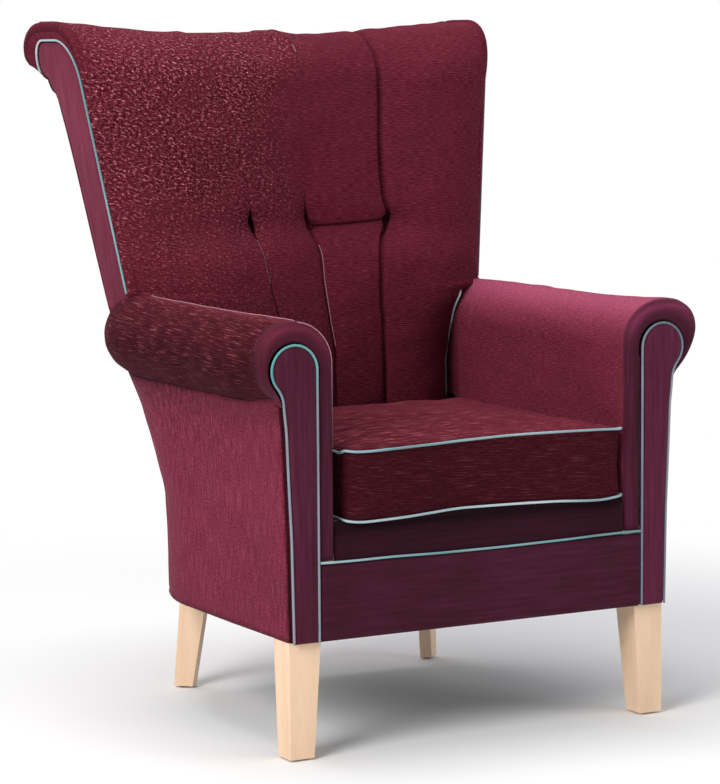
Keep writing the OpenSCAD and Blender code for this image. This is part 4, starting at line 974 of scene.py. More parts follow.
# Above its tuft the middle seam has filled up and hardly shows
filled = 1 - np.sin(np.pi * np.minimum(np.abs(share_of), 0.5)) ** 0.6
deep = deep - 8.5 * filled[None, :] * smooth_step(run, mid_tuft + 22, mid_tuft + 80) * top_fade
soft = 1.7 * ripples(back_front, 120, 3) + 0.8 * ripples(back_front, 46, 5)
from_seam = np.minimum.reduce([from_mid, from_left, from_right])[None, :]
hold = np.minimum(1, from_seam / 14) * (kind_of != "lip")[None, :]
back_front = (back_front - away * deep[..., None]
              + away * (soft * hold * smooth_step(run, 30, 90))[..., None])
print("deepest seam, mm:", round(float(deep.max()), 1))

# %% [markdown]
# The back has been leaned on high up at one side, where its pile is crushed to flecks with
# painted glints, and painted shade darkens the tufts and the foot of the back, where little light
# reaches. Both could be painted on the mesh by hand; as values worked out for each point they
# follow the net through every change.
# %% Where the back's pile is crushed or shaded
flat = np.stack([bx + 0 * run, run], -1)
crush = smooth_step(-bx + 22 * ripples(back_front, 130, 7) + 60 * smooth_step(bz, 940, 1040), -20, 150)
crush = crush * (1 - smooth_step(run, scroll_run + 150, scroll_run + 235))
crush = crush * (0.34 + 0.66 * smooth_step(bz + 20 * ripples(back_front, 90, 8), 680, 900))
slit = (groove(from_left, 2.6) * bump(run, side_tuft, 15)
        + 0.7 * groove(from_right, 3.4) * bump(run, side_tuft - 2, 12)
        + 0.8 * groove(from_mid, 2.6) * bump(run, mid_tuft + 14, 14)
        + np.where(between, 0.7 * bump(run, sag, 1.8), 0))
# Painted shade: darker towards the foot of the back and deep in the tufts and seams
back_painted_light = (1.0 - 0.18 * smooth_step(bz, 700, 560)) * (1 - 0.93 * np.clip(slit, 0, 1))
print("share of the back that is crushed:", round(float(crush.mean()), 2))


# %% [markdown]
# Beside each board the cover turns in on itself, and its edge is round, not sharp. A bevel would
# take in the whole rim of the shell; a few more columns round off only the two sides.
# %% The cover of the inner back
def round_edge(front, rear, values):
    """Rounds the cover's open ring beside each board with a few more columns."""
    for end in (0, -1):
        a, b = front[:, end], rear[:, end]
        wide = np.linalg.norm(a - b, axis=-1)
        out = np.sign(a[:, 0]) * 0.17 * np.maximum(0, wide - 9)
        new_front, new_rear, new_values = [], [], [[] for _ in values]
        for t in (0.06, 0.16, 0.30, 0.47):
            lift = out * math.sin(math.pi * t) ** 0.6
            new_front.append(mix(a, b, t) + np.stack([lift, 0 * lift, 0 * lift], -1))
            new_rear.append(mix(b, a, t) + np.stack([lift, 0 * lift, 0 * lift], -1))
        order = 1 if end else -1
        blocks = [np.stack(new_front[::order], 1), np.stack(new_rear[::order], 1)]
        grown = [np.stack([v[:, end]] * 4, 1) for v in values]
        # The middle of the ring lies in its own shade
        grown[0] = grown[0] * np.array([1.25, 1.0, 0.72, 0.55][::order])[None, :]
        if end:
            front, rear = np.concatenate([front, blocks[0]], 1), np.concatenate([rear, blocks[1]], 1)
            values = [np.concatenate([v, g], 1) for v, g in zip(values, grown)]
        else:
            front, rear = np.concatenate([blocks[0], front], 1), np.concatenate([blocks[1], rear], 1)
            values = [np.concatenate([g, v], 1) for v, g in zip(values, grown)]
    return front, rear, values


ring_share = smooth_step(run, scroll_run, scroll_run + 70)
back_painted_light = np.where((kind_of == "lip")[None, :], mix(back_painted_light, 0.85, ring_share), back_painted_light)
crush = np.where((kind_of == "lip")[None, :], crush * (1 - 0.75 * ring_share), crush)
back_front, back_rear, (back_painted_light, crush, flat_x, flat_y) = round_edge(
    back_front, back_rear, [back_painted_light, crush, flat[..., 0], flat[..., 1]])
flat = np.stack([flat_x, flat_y], -1)
verts, faces = shell(back_front, back_rear)
back_cloth = np.concatenate([flat.reshape(-1, 2), flat.reshape(-1, 2) + 400])
inner_back_cover = add_piece("inner_back_cover", verts, faces, back_cloth, chenille,
                             nap_and_light=lined(back_painted_light, 1), crush=lined(crush, 0))
finish_with(inner_back_cover, "chair", "wine_chenille", "inner_back")

# %% [markdown]
# ## The arms
# Each arm cover is one section swept back along the seat: a flat inside, a fat roll over the top
# and a lobe that turns under on the outside. Behind the seat the roll turns inwards round the
# corner of the body, so the section swings about the middle of the seat's rear. A tube along a
# curve couldn't change its section on the way, and a swept net can.
# %% The section of an arm
NOTCH_R, ROLL_END = 42.0, -69.9
notch_x = body_top_hw + NOTCH_R
notch_h = front_scroll_h - math.sqrt((NOTCH_R + front_scroll_r) ** 2 - (notch_x - scroll_x) ** 2)
notch_touch = math.degrees(math.atan2(front_scroll_h - notch_h, scroll_x - notch_x))
FRONT_FOOT_H, SIDE_FOOT_H, REAR_FOOT_H = 292.6, 304.3, 452.0


def arm_outline_for(theta):
    """The scroll of the arm front at an angle, then the hollow below it."""
    touch = notch_touch - 180
    if theta >= touch:
        a = math.radians(theta)
        return scroll_x + front_scroll_r * math.cos(a), front_scroll_h + front_scroll_r * math.sin(a)
    share = (touch - theta) / (touch - ROLL_END)
    a = math.radians(mix(touch + 180, 180, min(1, share)))
    return notch_x + NOTCH_R * math.cos(a), notch_h + NOTCH_R * math.sin(a)


def arm_section():
    """The outer section of the arm's padding and the line inside it, point for point."""
    outer, inner = [], []
    for z in steps(SIDE_FOOT_H, roll_h, 7.5)[:-1]:
        outer.append((seat_hw, z))
        inner.append((front_in_x, z))
    for theta in np.linspace(180, ROLL_END, 62):
        a = math.radians(theta)
        outer.append((roll_x + roll_r * math.cos(a), roll_h + roll_r * math.sin(a)))
        inner.append(arm_outline_for(theta))
    return np.array(outer), np.array(inner)


def foot_height(d):
    """The inside of the arm ends above the seat rail, and behind the seat above the cushion."""
    return np.interp(d, [0, 12, 16, 498, 508, 560],
                     [FRONT_FOOT_H, FRONT_FOOT_H, SIDE_FOOT_H, SIDE_FOOT_H, REAR_FOOT_H, REAR_FOOT_H])


def front_swell(net, low, theta, swell_at, swell, tuck):
    """How the stuffing fills the roll near its front: out at one angle, tucked in below."""
    near = np.exp(-(np.maximum(0, net[..., 1] - 22) / 75) ** 2)
    near = near * smooth_step(np.arange(len(net)), 0, 12)[:, None]
    size = swell * np.exp(-((theta - swell_at) / 38) ** 2) - tuck * (1 - smooth_step(theta, -5, 60))
    size = np.where(low, 0, size)[None, :] * near
    a = np.radians(theta)[None, :]
    return np.stack([size * np.cos(a), 0 * size, size * np.sin(a)], -1)


print("hollow under the arm's scroll: radius", NOTCH_R, "mm")

# %% The nets of an arm
FRONT_ROWS, SIDE_ROWS, TURN_ROWS = 14, 56, 24
FRONT_WRAP, STRAIGHT_ON = 34.0, 109.0


def make_arm_cover(swell_at, swell, tuck):
    """The outer and inner net of one arm, with what the shading needs to know about them."""
    outer, inner = arm_section()
    count = len(outer)
    low = (outer[:, 1] < roll_h) & (outer[:, 0] < seat_hw + 5)
    theta = np.degrees(np.arctan2(outer[:, 1] - roll_h, outer[:, 0] - roll_x))
    out_share = np.where(low, 0, 1 - smooth_step(theta, 30, 110))
    layers_out, layers_in = [], []
    corner = 8.5 + 13 * out_share
    for f in np.linspace(1, 0, FRONT_ROWS):
        ring = mix(outer, inner, f)
        d = 4 + corner * (1 - math.sqrt(max(0, 1 - (1 - f) ** 2.6))) + 4.5 * smooth_step(f, 0.88, 1.0)
        layers_out.append(np.column_stack([ring[:, 0], d, ring[:, 1]]))
        layers_in.append(np.column_stack([inner[:, 0], np.full(count, 9 + 0.25 * (1 - f)), inner[:, 1]]))
    for share in np.linspace(0, 1, SIDE_ROWS)[1:]:
        d = mix(4 + corner, roll_turn_d, share)
        layers_out.append(np.column_stack([outer[:, 0], d, outer[:, 1]]))
        layers_in.append(np.column_stack([inner[:, 0], d, inner[:, 1]]))
    straight_share = 1 - smooth_step(outer[:, 0], seat_hw + 12, scroll_x)
    for angle in np.linspace(0, math.radians(roll_turn), TURN_ROWS)[1:]:
        for line, layers in ((outer, layers_out), (inner, layers_in)):
            x, z = line[:, 0], line[:, 1]
            turned = np.column_stack([x * math.cos(angle), roll_turn_d + x * math.sin(angle), z])
            ahead_d = roll_turn_d + STRAIGHT_ON * angle / math.radians(roll_turn)
            ahead = np.column_stack([x, np.full(count, ahead_d), z])
            layers.append(mix(turned, ahead, straight_share[:, None]))
    net_out, net_in = np.stack(layers_out), np.stack(layers_in)
    net_out += front_swell(net_out, low, theta, swell_at, swell, tuck)
    for net in (net_out, net_in):
        foot = foot_height(net[..., 1])
        z = net[..., 2]
        risen = foot + (z - SIDE_FOOT_H) * (roll_h - foot) / (roll_h - SIDE_FOOT_H)
        net[..., 2] = np.where(low[None, :], risen, z)
    face = net_normals(net_out)
    if face[30, 5, 0] > 0:
        face = -face
    along_arm = np.concatenate([np.linspace(-FRONT_WRAP, 0, FRONT_ROWS), net_out[FRONT_ROWS:, 0, 1]])
    return net_out, net_in, face, walked(outer), along_arm, theta, low


print("rows of an arm's net:", FRONT_ROWS + SIDE_ROWS + TURN_ROWS - 2)

# %% [markdown]
# The two arms are one pattern, but a hand has stuffed each. The right one is filled out round
# its front; the left is drawn in, and its pile lies in strokes. Both carry a painted highlight
# along the crest and painted shade where the roll turns under, and the right one is painted
# lighter all over. So each side gets its own swelling, its own wear and its own painted light,
# on the same net.
# %% Arm covers
RING_ROWS = FRONT_ROWS - 1
arm_nets = {}
for side, sign, seed, swelling in (("left", -1, 11, (0, 0, 9.0)), ("right", 1, 17, (28, 19.0, 5.0))):
    arm_out, arm_in, arm_face, arm_run, arm_along, arm_theta, arm_low = make_arm_cover(*swelling)
    from_hem = np.minimum(arm_run, arm_run[-1] - arm_run)
    hold = smooth_step(arm_along, -10, 40)[:, None] * np.minimum(1, from_hem / 25)[None, :]
    crown = 1 - 0.7 * np.exp(-((arm_theta - 95) / 30) ** 2) * ~arm_low
    rough = (1.1 * ripples(arm_out, 90, seed) + 0.45 * ripples(arm_out, 34, seed + 1)) * hold * crown[None, :]
    # The top has settled a little where hands rest
    rough = rough - 2.2 * np.exp(-((arm_along - 235) / 120) ** 2)[:, None] * (1 - crown)[None, :]
    outer_net = arm_out + arm_face * (rough - 0.6 * hold)[..., None]
    beside = (arm_out[..., 2] < cushion_top + 30) & (arm_out[..., 0] < seat_hw + 1)
    least_x = seat_hw - 0.5 * (arm_out[..., 1] > 495)
    outer_net[..., 0] = np.where(beside, np.maximum(outer_net[..., 0], least_x), outer_net[..., 0])
    arm_nets[side] = outer_net
    verts, faces = shell(outer_net, arm_in)
    flat = np.stack(np.broadcast_arrays(arm_along[:, None], arm_run[None, :]), -1)
    # The ring round the arm front is plush all the way round, the rest of the cover chenille
    cols = outer_net.shape[1]
    plush_ring = [f[0] < RING_ROWS * cols for f in faces]
    crest = np.exp(-((arm_theta - 105) / 42) ** 2) * ~arm_low
    turned_under = (1 - smooth_step(arm_theta, -25, 45)) * ~arm_low
    # Painted light and shade: lighter along the crest, darker where the roll turns under, and the right arm
    # lighter all over
    if side == "left":
        nap_and_light = 0.60 + 0.86 * np.exp(-((arm_theta - 104) / 24) ** 2) * ~arm_low - 0.30 * turned_under
        crushed, streaked = 0.22 * ~arm_low, 0.85 * ~arm_low
    else:
        nap_and_light = 1.36 + 1.30 * crest - 0.5 * turned_under
        crushed, streaked = 0.03 * ~arm_low, 0.0 * arm_low
    crushed, streaked = (np.broadcast_to(v, outer_net.shape[:2]) for v in (crushed, streaked))
    nap_and_light = np.broadcast_to(nap_and_light, outer_net.shape[:2]).copy()
    # The plush ring gets a painted highlight along its rim where light falls on it, and is darker elsewhere
    rim = np.exp(-((np.arange(RING_ROWS) - 9) / 3.2) ** 2)[:, None]
    lit_over = smooth_step(arm_theta, 0, 60) * mix(1.0, 0.15, smooth_step(arm_theta, 140, 180))
    lit = np.where(arm_low, 0.15, lit_over)[None, :]
    nap_and_light[:RING_ROWS] = 0.72 + rim * lit * (0.65 if side == "left" else 1.3)
    cover = add_piece(f"arm_cover_{side}", verts * (sign, 1, 1), faces,
                      np.concatenate([flat.reshape(-1, 2), flat.reshape(-1, 2) + 500]), chenille,
                      nap_and_light=lined(nap_and_light, 1), crush=lined(crushed, 0), streak=lined(streaked, 0),
                      second=plush, in_second=plush_ring)
    finish_with(cover, "chair", "wine_chenille", f"arm_pad_{side}")

# %% [markdown]
# ## Facings
# The arm fronts, the boards beside the back and the border under the seat are flat boards padded
# with a thin wadding under plush. Each is drawn as an outline; its inside is filled with points
# and domed near the edge, where the cloth turns over the board. A grid clipped by the outline
# would leave a ragged edge; a triangulation that keeps the outline as its border doesn't.
# %% Padded panels
def outline_distance(points, loop):
    a, b = loop, np.roll(loop, -1, axis=0)
    d = b - a
    t = np.clip(((points[:, None] - a) * d).sum(-1) / np.maximum((d * d).sum(-1), 1e-9), 0, 1)
    return np.linalg.norm(points[:, None] - (a + t[..., None] * d), axis=-1).min(1)


def inside_of(points, loop):
    a, b = loop, np.roll(loop, -1, axis=0)
    x, y = points[:, None, 0], points[:, None, 1]
    crosses = (a[:, 1] > y) != (b[:, 1] > y)
    at = a[:, 0] + (y - a[:, 1]) / np.where(b[:, 1] == a[:, 1], 1e-9, b[:, 1] - a[:, 1]) * (b[:, 0] - a[:, 0])
    return (crosses & (x < at)).sum(1) % 2 == 1


def resampled(loop, size):
    loop = np.asarray(loop, float)
    closed = np.vstack([loop, loop[:1]])
    length = np.linalg.norm(np.diff(closed, axis=0), axis=1).sum()
    return along(closed, int(length / size) + 1)[:-1]


def padded_panel(name, loop, place, thick, dome, turn, size, cloth, seed, uneven=0.5, nap_and_light=1.0,
                 crease=None, lengthways=False, rosy=0.0):
    """A flat padded board: place turns outline points and a height over the board into points."""
    loop = resampled(loop, size)
    low, high = loop.min(0), loop.max(0)
    gx, gy = np.meshgrid(np.arange(low[0], high[0], size), np.arange(low[1], high[1], size * 0.9))
    gx[1::2] += size / 2
    fill = np.column_stack([gx.ravel(), gy.ravel()])
    fill = fill[inside_of(fill, loop)]
    fill = fill[outline_distance(fill, loop) > size * 0.55]
    points = np.vstack([loop, fill])
    n = len(loop)
    result = delaunay_2d_cdt([Vector(p) for p in points], [], [list(range(n))], 1, 1e-4)
    flat_points = np.array([tuple(p) for p in result[0]])
    tris = [list(t) for t in result[2]]
    distance = outline_distance(flat_points, loop)
    share = np.clip(distance / turn, 0, 1)
    puff = dome * np.sqrt(np.clip(1 - (1 - share) ** 2, 0, 1))
    lumps = ripples(np.column_stack([flat_points, np.zeros(len(flat_points))]), 60, seed) * uneven
    puff = puff + lumps * smooth_step(distance, 0, turn * 1.5)
    if crease:
        puff = puff + crease(flat_points)
    top = place(flat_points, puff)
    bottom = place(flat_points, np.full(len(flat_points), -thick))
    m = len(flat_points)
    edges = dict.fromkeys((t[i], t[(i + 1) % 3]) for t in tris for i in range(3))
    rim = [e for e in edges if (e[1], e[0]) not in edges]
    faces = tris + [[v + m for v in t[::-1]] for t in tris] + [[b, a, a + m, b + m] for a, b in rim]
    weave = flat_points[:, ::-1] if lengthways else flat_points
    return add_piece(name, np.vstack([top, bottom]), faces, np.vstack([weave, weave + 300]), cloth,
                     nap_and_light=nap_and_light, crush=rosy)


# %% [markdown]
# An arm front is a scroll on a straight board. Its plush is drawn in a few millimetres from the
# outline of the arm, so that the piping has room between the facing and the cover.
# %% Facings of the arms
def arm_front_loop(grow):
    """The arm front's outline in half width and height, grown or shrunk."""
    lower = [(side_x(z) + grow, z) for z in steps(notch_h, leg_h, 12)[1:]]
    scroll = round_points((scroll_x, front_scroll_h), front_scroll_r + grow,
                          np.linspace(180, notch_touch - 180, 40))
    notch = round_points((notch_x, notch_h), NOTCH_R - grow, np.linspace(notch_touch, 180, 10))
    return np.concatenate([[(front_in_x - grow, leg_h)], scroll, notch, lower])


def arm_front_place(sign):
    return lambda p, up_mm: np.column_stack([sign * p[:, 0], 2.2 - up_mm, p[:, 1]])


# The right facing is painted lighter than the left, as painted light
for side, sign, seed in (("left", -1, 21), ("right", 1, 23)):
    panel = padded_panel(
        f"arm_facing_{side}", arm_front_loop(-4.2), arm_front_place(sign), thick=9.0, dome=3.4, turn=9.0,
        size=6.0, cloth=plush, seed=seed, nap_and_light=0.95 if side == "left" else 1.3)
    finish_with(panel, "chair", "plum_plush", f"arm_front_{side}")

# %% [markdown]
# The boards beside the back follow its scroll, in the same plush. Under the scroll their rear
# edge has a hollow, which the wadding rounds off. They lean outwards with the back, so their
# points are placed on that leaning plane and puffed out square to it.
# %% Side boards of the back
def hollow_fill(z):
    """The wadding rounds off the hollow under the scroll."""
    return np.interp(z, [neck_h - 25, neck_h, neck_h + 12, neck_h + 22, tip_h - board_tip_r],
                     [0, 4.5, 9.5, 15, 20.5])


def board_loop(shrink):
    """The board beside the back, in depth and height."""
    low = arm_h - 30
    rear_z = np.concatenate([
        np.linspace(tip_h - board_tip_r + shrink, neck_h - 30, 9)[:-1], np.linspace(neck_h - 30, low, 22)])
    rear = np.column_stack([seam_d(rear_z) - shell_t - 2 * GAP - shrink * 0.3 + hollow_fill(rear_z), rear_z])
    return np.concatenate([
        [(pipe_d(low) + pipe_r + shrink, low)],
        round_points((scroll_d, scroll_h), board_r - shrink, np.linspace(180 - math.degrees(lean), 90, 20)),
        round_points((tip_d, tip_h), board_tip_r - shrink, np.linspace(90, -90, 22)),
        rear])


def board_place(sign):
    def place(p, up_mm):
        out = (back_x(p[:, 1]) + up_mm - 1.6) * sign
        return np.column_stack([out, p[:, 0], p[:, 1] - flare * up_mm])
    return place


# The boards are painted lighter than the other plush, as painted light
for side, sign, seed in (("left", -1, 31), ("right", 1, 33)):
    panel = padded_panel(
        f"back_board_{side}", board_loop(0.8), board_place(sign), thick=7.0, dome=2.6, turn=9.0,
        size=6.5, cloth=plush, seed=seed, uneven=0.7, nap_and_light=1.4, rosy=0.4)
    finish_with(panel, "chair", "plum_plush", f"back_facing_{side}")

# %% [markdown]
# The border closes the front between the arms, under the cushion. Its cloth was cut sideways,
# so its weave runs across, and it has one faint fold that no simulation would set in the right
# place; a shallow groove in the outline's own points does.
# %% The seat border
border_hw = front_in_x - GAP


def border_crease(p):
    """The border's cloth has one faint fold under its piping, deepest on the sitter's right."""
    return -1.6 * np.exp(-((p[:, 1] - 252 + 0.012 * p[:, 0]) / 2.6) ** 2) * smooth_step(-p[:, 0], -120, 120)


border_loop = [(-border_hw, leg_h), (border_hw, leg_h), (border_hw, border_h - 1), (-border_hw, border_h - 1)]
# The border is painted darker, as painted shade under the cushion
seat_border = padded_panel("seat_border", border_loop,
                           lambda p, up_mm: np.column_stack([p[:, 0], 2.6 - up_mm, p[:, 1]]),
                           thick=9.0, dome=2.8, turn=8.0, size=6.0, cloth=plush, seed=41, uneven=0.8,
                           nap_and_light=0.68, crease=border_crease, lengthways=True)
finish_with(seat_border, "chair", "plum_plush", "front_border")

# %% [markdown]
# ## Outside panels
# One panel of velour runs round each side, from the arm front to the seam at the rear corner,
# and another closes the back. They are pulled tight and tacked under the seat rails, with a
# shallow hem at the bottom. A cloth simulation could stretch them, but cloth as taut as this
# hardly leaves its frame, so each is a thin skin drawn on the frame's own curves.
# %% Outside arms, outside back
def side_net(inset):
    """Points of the side panel: along the straight side, then round the corner."""
    heights = np.concatenate([[leg_h, leg_h + 3, leg_h + 8], steps(leg_h + 14, panel_top_h, 8)])
    rows = []
    for z in heights:
        sx, seam = float(side_x(z)), float(seam_x(z))
        turn = math.acos(1 - (sx - seam) / barrel_r)
        start = float(seam_d(z)) - barrel_r * math.sin(turn)
        depths = np.concatenate([
            front_t + np.array([0, 3, 5.5, 8, 10.5]), np.linspace(front_t + 16, start, 32)[:-1]])
        recess = 4.0 * (1 - smooth_step(depths, front_t + 4, front_t + 9)) * (inset == 0)
        flat = [(sx - inset - r, d) for d, r in zip(depths, recess)]
        bend = np.linspace(0, turn * (1 - (shell_t + GAP) / barrel_r / turn), 30)
        bent_r = barrel_r - inset
        bent = [(sx - barrel_r + bent_r * math.cos(a), start + bent_r * math.sin(a)) for a in bend]
        # At the front it climbs a little higher, under the tucked end of the roll
        rise = smooth_step(z, panel_top_h - 70, panel_top_h) * 8
        rows.append([(x, d, z + rise * smooth_step(d, 130, 30)) for x, d in flat + bent])
    return np.array(rows)


def back_net(inset):
    """Points of the outside back, from seam to seam and from the legs to the top rail."""
    heights = np.concatenate([[leg_h, leg_h + 3, leg_h + 8], steps(leg_h + 14, rail_low - 3, 11)])
    shares = np.linspace(-1, 1, 61)
    return np.array([[(s * float(seam_x(z)), float(seam_d(z)) - inset + back_bow * (1 - s * s), z)
                      for s in shares] for z in heights])


HEM_DEPTH = 1.6


def skin_panel(name, outside, inside, seed, stands_for, mirror=1, shaded=True):
    """A thin skin between two nets, a little uneven, with a hem pressed in at its foot."""
    n = net_normals(outside)
    middle = n[n.shape[0] // 2, n.shape[1] // 2]
    spot = outside[n.shape[0] // 2, n.shape[1] // 2] - (0, 300, 0)
    if (middle * spot)[:2].sum() < 0:
        n = -n
    z = outside[..., 2]
    lumps = 0.7 * ripples(outside, 150, seed) + 0.3 * ripples(outside, 55, seed + 1)
    lumps = lumps - HEM_DEPTH * np.exp(-((z - leg_h - 9) / 3.0) ** 2) - 1.2 * smooth_step(z, leg_h + 3, leg_h)
    edge = np.minimum.reduce([np.arange(n.shape[1]), np.arange(n.shape[1])[::-1]])
    lumps = lumps * np.minimum(1, edge / 4)[None, :] - 2.4 * np.exp(-(edge / 0.8) ** 2)[None, :]
    verts, faces = shell(outside + n * lumps[..., None], inside)
    across = np.concatenate([np.zeros((outside.shape[0], 1)), np.cumsum(np.linalg.norm(
        np.diff(outside, axis=1), axis=-1), axis=1)], axis=1)
    flat = np.stack([across, z], -1).reshape(-1, 2)
    # Painted shade: a dark line along the foot, a painted shadow under the arm's roll, and painted shade in
    # the recess beside the facing
    nap_and_light = (1.0 - 0.55 * np.exp(-((z - leg_h) / 5.0) ** 2)
           - 0.3 * shaded * smooth_step(z, panel_top_h - 60, panel_top_h))
    nap_and_light = nap_and_light * (1 - 0.85 * (outside[..., 1] < front_t + 7))
    crush = shaded * smooth_step(z, 330, 500) * smooth_step(outside[..., 1], 60, 330)
    nap_and_light, crush = (np.tile(values.ravel(), 2) for values in (nap_and_light, crush))
    panel = add_piece(name, verts * (mirror, 1, 1), faces, np.concatenate([flat, flat + 700]), velour,
                      nap_and_light=nap_and_light, crush=crush)
    return finish_with(panel, "chair", "wine_velour", stands_for)


for side, sign, seed in (("left", -1, 51), ("right", 1, 57)):
    panel = skin_panel(f"outside_panel_{side}", side_net(0), side_net(shell_t), seed,
                       f"outside_arm_{side}", sign)
outside_back_panel = skin_panel(
    "outside_back_panel", back_net(0), back_net(shell_t), 63, "outside_back", shaded=False)

# %% [markdown]
# ## The seat
# Below the cushion a band of plush covers the lip of the seat, and a felt platform lies behind
# it. The band is one section drawn out from arm to arm; its ends turn in, as sewn ends do.
# %% The lip band and the platform
LIP_STEP = 4.0


def make_deck_lip():
    section = np.array([(4.6, border_h + 0.7), (4.0, 305), (4.2, 318), (6.5, 332), (11, 340), (18, 344),
                        (34, 344.6), (34, 308), (11.8, 306), (11.5, border_h + 0.7)])
    section = resampled(section, LIP_STEP)
    near_end = np.array([0.9, 2, 3.5, 6])
    xs = np.unique(np.concatenate([
        steps(-seat_hw + GAP, seat_hw - GAP, 9), seat_hw - near_end, near_end - seat_hw]))
    net = np.array([[(x, d, z) for d, z in section] for x in xs])
    net[..., 1] += 0.7 * ripples(net, 70, 71) * (np.abs(net[..., 2] - 320) < 14)
    # Its ends turn in towards the arms
    turn_in = 7.5 * smooth_step(np.abs(net[..., 0]), seat_hw - 9, seat_hw) ** 1.5
    net[..., 1] += np.where(net[..., 1] < 11, turn_in * (11 - net[..., 1]) / 7, 0)
    rows, cols = net.shape[:2]
    faces = [(r * cols + c, r * cols + (c + 1) % cols, (r + 1) * cols + (c + 1) % cols, (r + 1) * cols + c)
             for r in range(rows - 1) for c in range(cols)]
    faces += [list(range(cols))[::-1], [(rows - 1) * cols + c for c in range(cols)]]
    run = np.arange(cols) * LIP_STEP
    flat = np.stack(np.broadcast_arrays(run[None, :], xs[:, None]), -1).reshape(-1, 2)
    # Painted shadow under the cushion, darkest just below its front edge
    shade = 0.34 - 0.22 * np.exp(-((net[..., 2] - 341) / 16) ** 2)
    return add_piece("lip_band", net, faces, flat, plush, nap_and_light=shade)


lip_band = make_deck_lip()
deck_low, deck_high = box_mm("deck_pad")
DECK_DOME = 3.0
deck_loop = [(deck_low[0], deck_low[1]), (deck_high[0], deck_low[1]),
             (deck_high[0], deck_high[1]), (deck_low[0], deck_high[1])]
deck_cover = padded_panel(
    "deck_platform", deck_loop,
    lambda p, up_mm: np.column_stack([p[:, 0], p[:, 1], deck_high[2] - DECK_DOME + up_mm]),
    thick=deck_high[2] - deck_low[2] - DECK_DOME, dome=DECK_DOME, turn=14.0, size=9.0,
    cloth=finish_of["deck_felt"], seed=73, uneven=0.9)
finish_with(deck_cover, "chair", "lining", "deck_pad")
finish_with(lip_band, "chair", "plum_plush", "deck_lip")

# %% [markdown]
# ## The cushion
# The cushion is loose: a boxed cover with piping round its top and bottom edges. Seen from above
# its sides draw in between rounded corners, and the real one has slid a little off the sitter's
# right arm. Cover and piping both start from this one plan, so they meet all the way round.
# %% Plan of the cushion
cushion_hw = seat_hw - 6.0
cushion_front_d = 2 * pipe_r + GAP
crest_d = seat_d - 20 * 0.35 - SIDE_CROWN
cushion_deep = crest_d - 2 * cushion_front_d - GAP
cushion_mid_d = cushion_front_d + cushion_deep / 2
CORNER_R, CUSHION_DRAW, CUSHION_CROWN = 11.0, 4.0, 20.0


def cushion_plan(grow, size=9.0):
    """The cushion seen from above: sides that draw in between rounded corners."""
    hx, hy = cushion_hw, cushion_deep / 2
    pieces = []
    for k, (length, out) in enumerate(((hy, hx), (hx, hy), (hy, hx), (hx, hy))):
        s = np.linspace(-1, 1, int(2 * length / size))
        drawn_in = out - CUSHION_DRAW * (1 - s ** 2) + grow
        side = np.column_stack([drawn_in, s * (length - CORNER_R)])
        corner_at = (out - CORNER_R, length - CORNER_R)
        corner = round_points(corner_at, CORNER_R + grow, np.linspace(0, 90, 7)[1:-1])
        both = np.vstack([side, corner])
        a = math.radians(90 * k)
        pieces.append(np.column_stack([both[:, 0] * math.cos(a) - both[:, 1] * math.sin(a),
                                       both[:, 0] * math.sin(a) + both[:, 1] * math.cos(a)]))
    plan = np.vstack(pieces)
    # It lies a little off the sitter's right arm at the front, and its front stands forward
    plan[:, 0] += 16.0 * smooth_step(-plan[:, 0], 120, 240) * smooth_step(-plan[:, 1], 60, 200)
    plan[:, 1] = np.where(plan[:, 1] < 0, plan[:, 1] - 3.0 * smooth_step(-plan[:, 1], 150, 215), plan[:, 1])
    plan[:, 1] += cushion_mid_d
    return plan


edge_spots = [-245, -198, -150, -93, -31, 50, 128, 202, 245]
low_wave = [0, -4.4, -3, 0, 3.5, 1.5, -1, -4.2, 0]
top_wave = [0, -3.3, -2.4, -1.0, 1.6, 3.0, 2.6, 1.2, 0]


def edge_wave(p, waves):
    """The front edges of the loose cushion aren't quite level."""
    return eased(p[:, 0], edge_spots, waves) * smooth_step(p[:, 1], 60, 12)


def side_drop(p):
    """Along the sides and the rear the top piping is pressed down beside the filled top."""
    return 5.6 * smooth_step(p[:, 1], 9, 34)


print("cushion:", round(2 * cushion_hw), "by", round(cushion_deep), "mm")


# %% [markdown]
# A cushion could be drawn by formula like the rest. Its slack comes from filling pressed against
# sewn edges, though, and a cloth simulation knows that better: air pushes the cover out while
# the points beside the piping are held.
# %% The cover before it is filled
def make_cushion_start():
    """The cover before it is filled: a little slacker than the finished cushion."""
    plan = cushion_plan(0.0)
    middle = np.array([0, cushion_mid_d])
    n = len(plan)
    rings = []
    for s in (0.15, 0.35, 0.55, 0.72, 0.86, 0.95):
        rings.append((s, -0.8, cushion_low + 1.5 + 0.6 * s))
    for share, draw in ((0.03, 0.4), (0.2, 2.2), (0.5, 3.4), (0.8, 2.2), (0.97, 0.4)):
        rings.append((1.0, -draw - 0.8, cushion_low + share * 106))
    for s in (0.96, 0.88, 0.74, 0.56, 0.36, 0.16):
        rings.append((s, -0.8, cushion_top + 1 + (CUSHION_CROWN - 5) * (1 - s ** 2.6)))
    verts = []
    for s, grow, z in rings:
        ring = (plan - middle) * s + middle
        out = (ring - middle) / np.linalg.norm(ring - middle, axis=1, keepdims=True)
        ring = ring + out * grow
        verts.append(np.column_stack([ring, np.full(n, z)]))
    verts = np.vstack(verts)
    faces = [(r * n + c, r * n + (c + 1) % n, (r + 1) * n + (c + 1) % n, (r + 1) * n + c)
             for r in range(len(rings) - 1) for c in range(n)]
    faces += [list(range(n))[::-1], [(len(rings) - 1) * n + c for c in range(n)]]
    return add_piece("cushion_start", verts, faces)


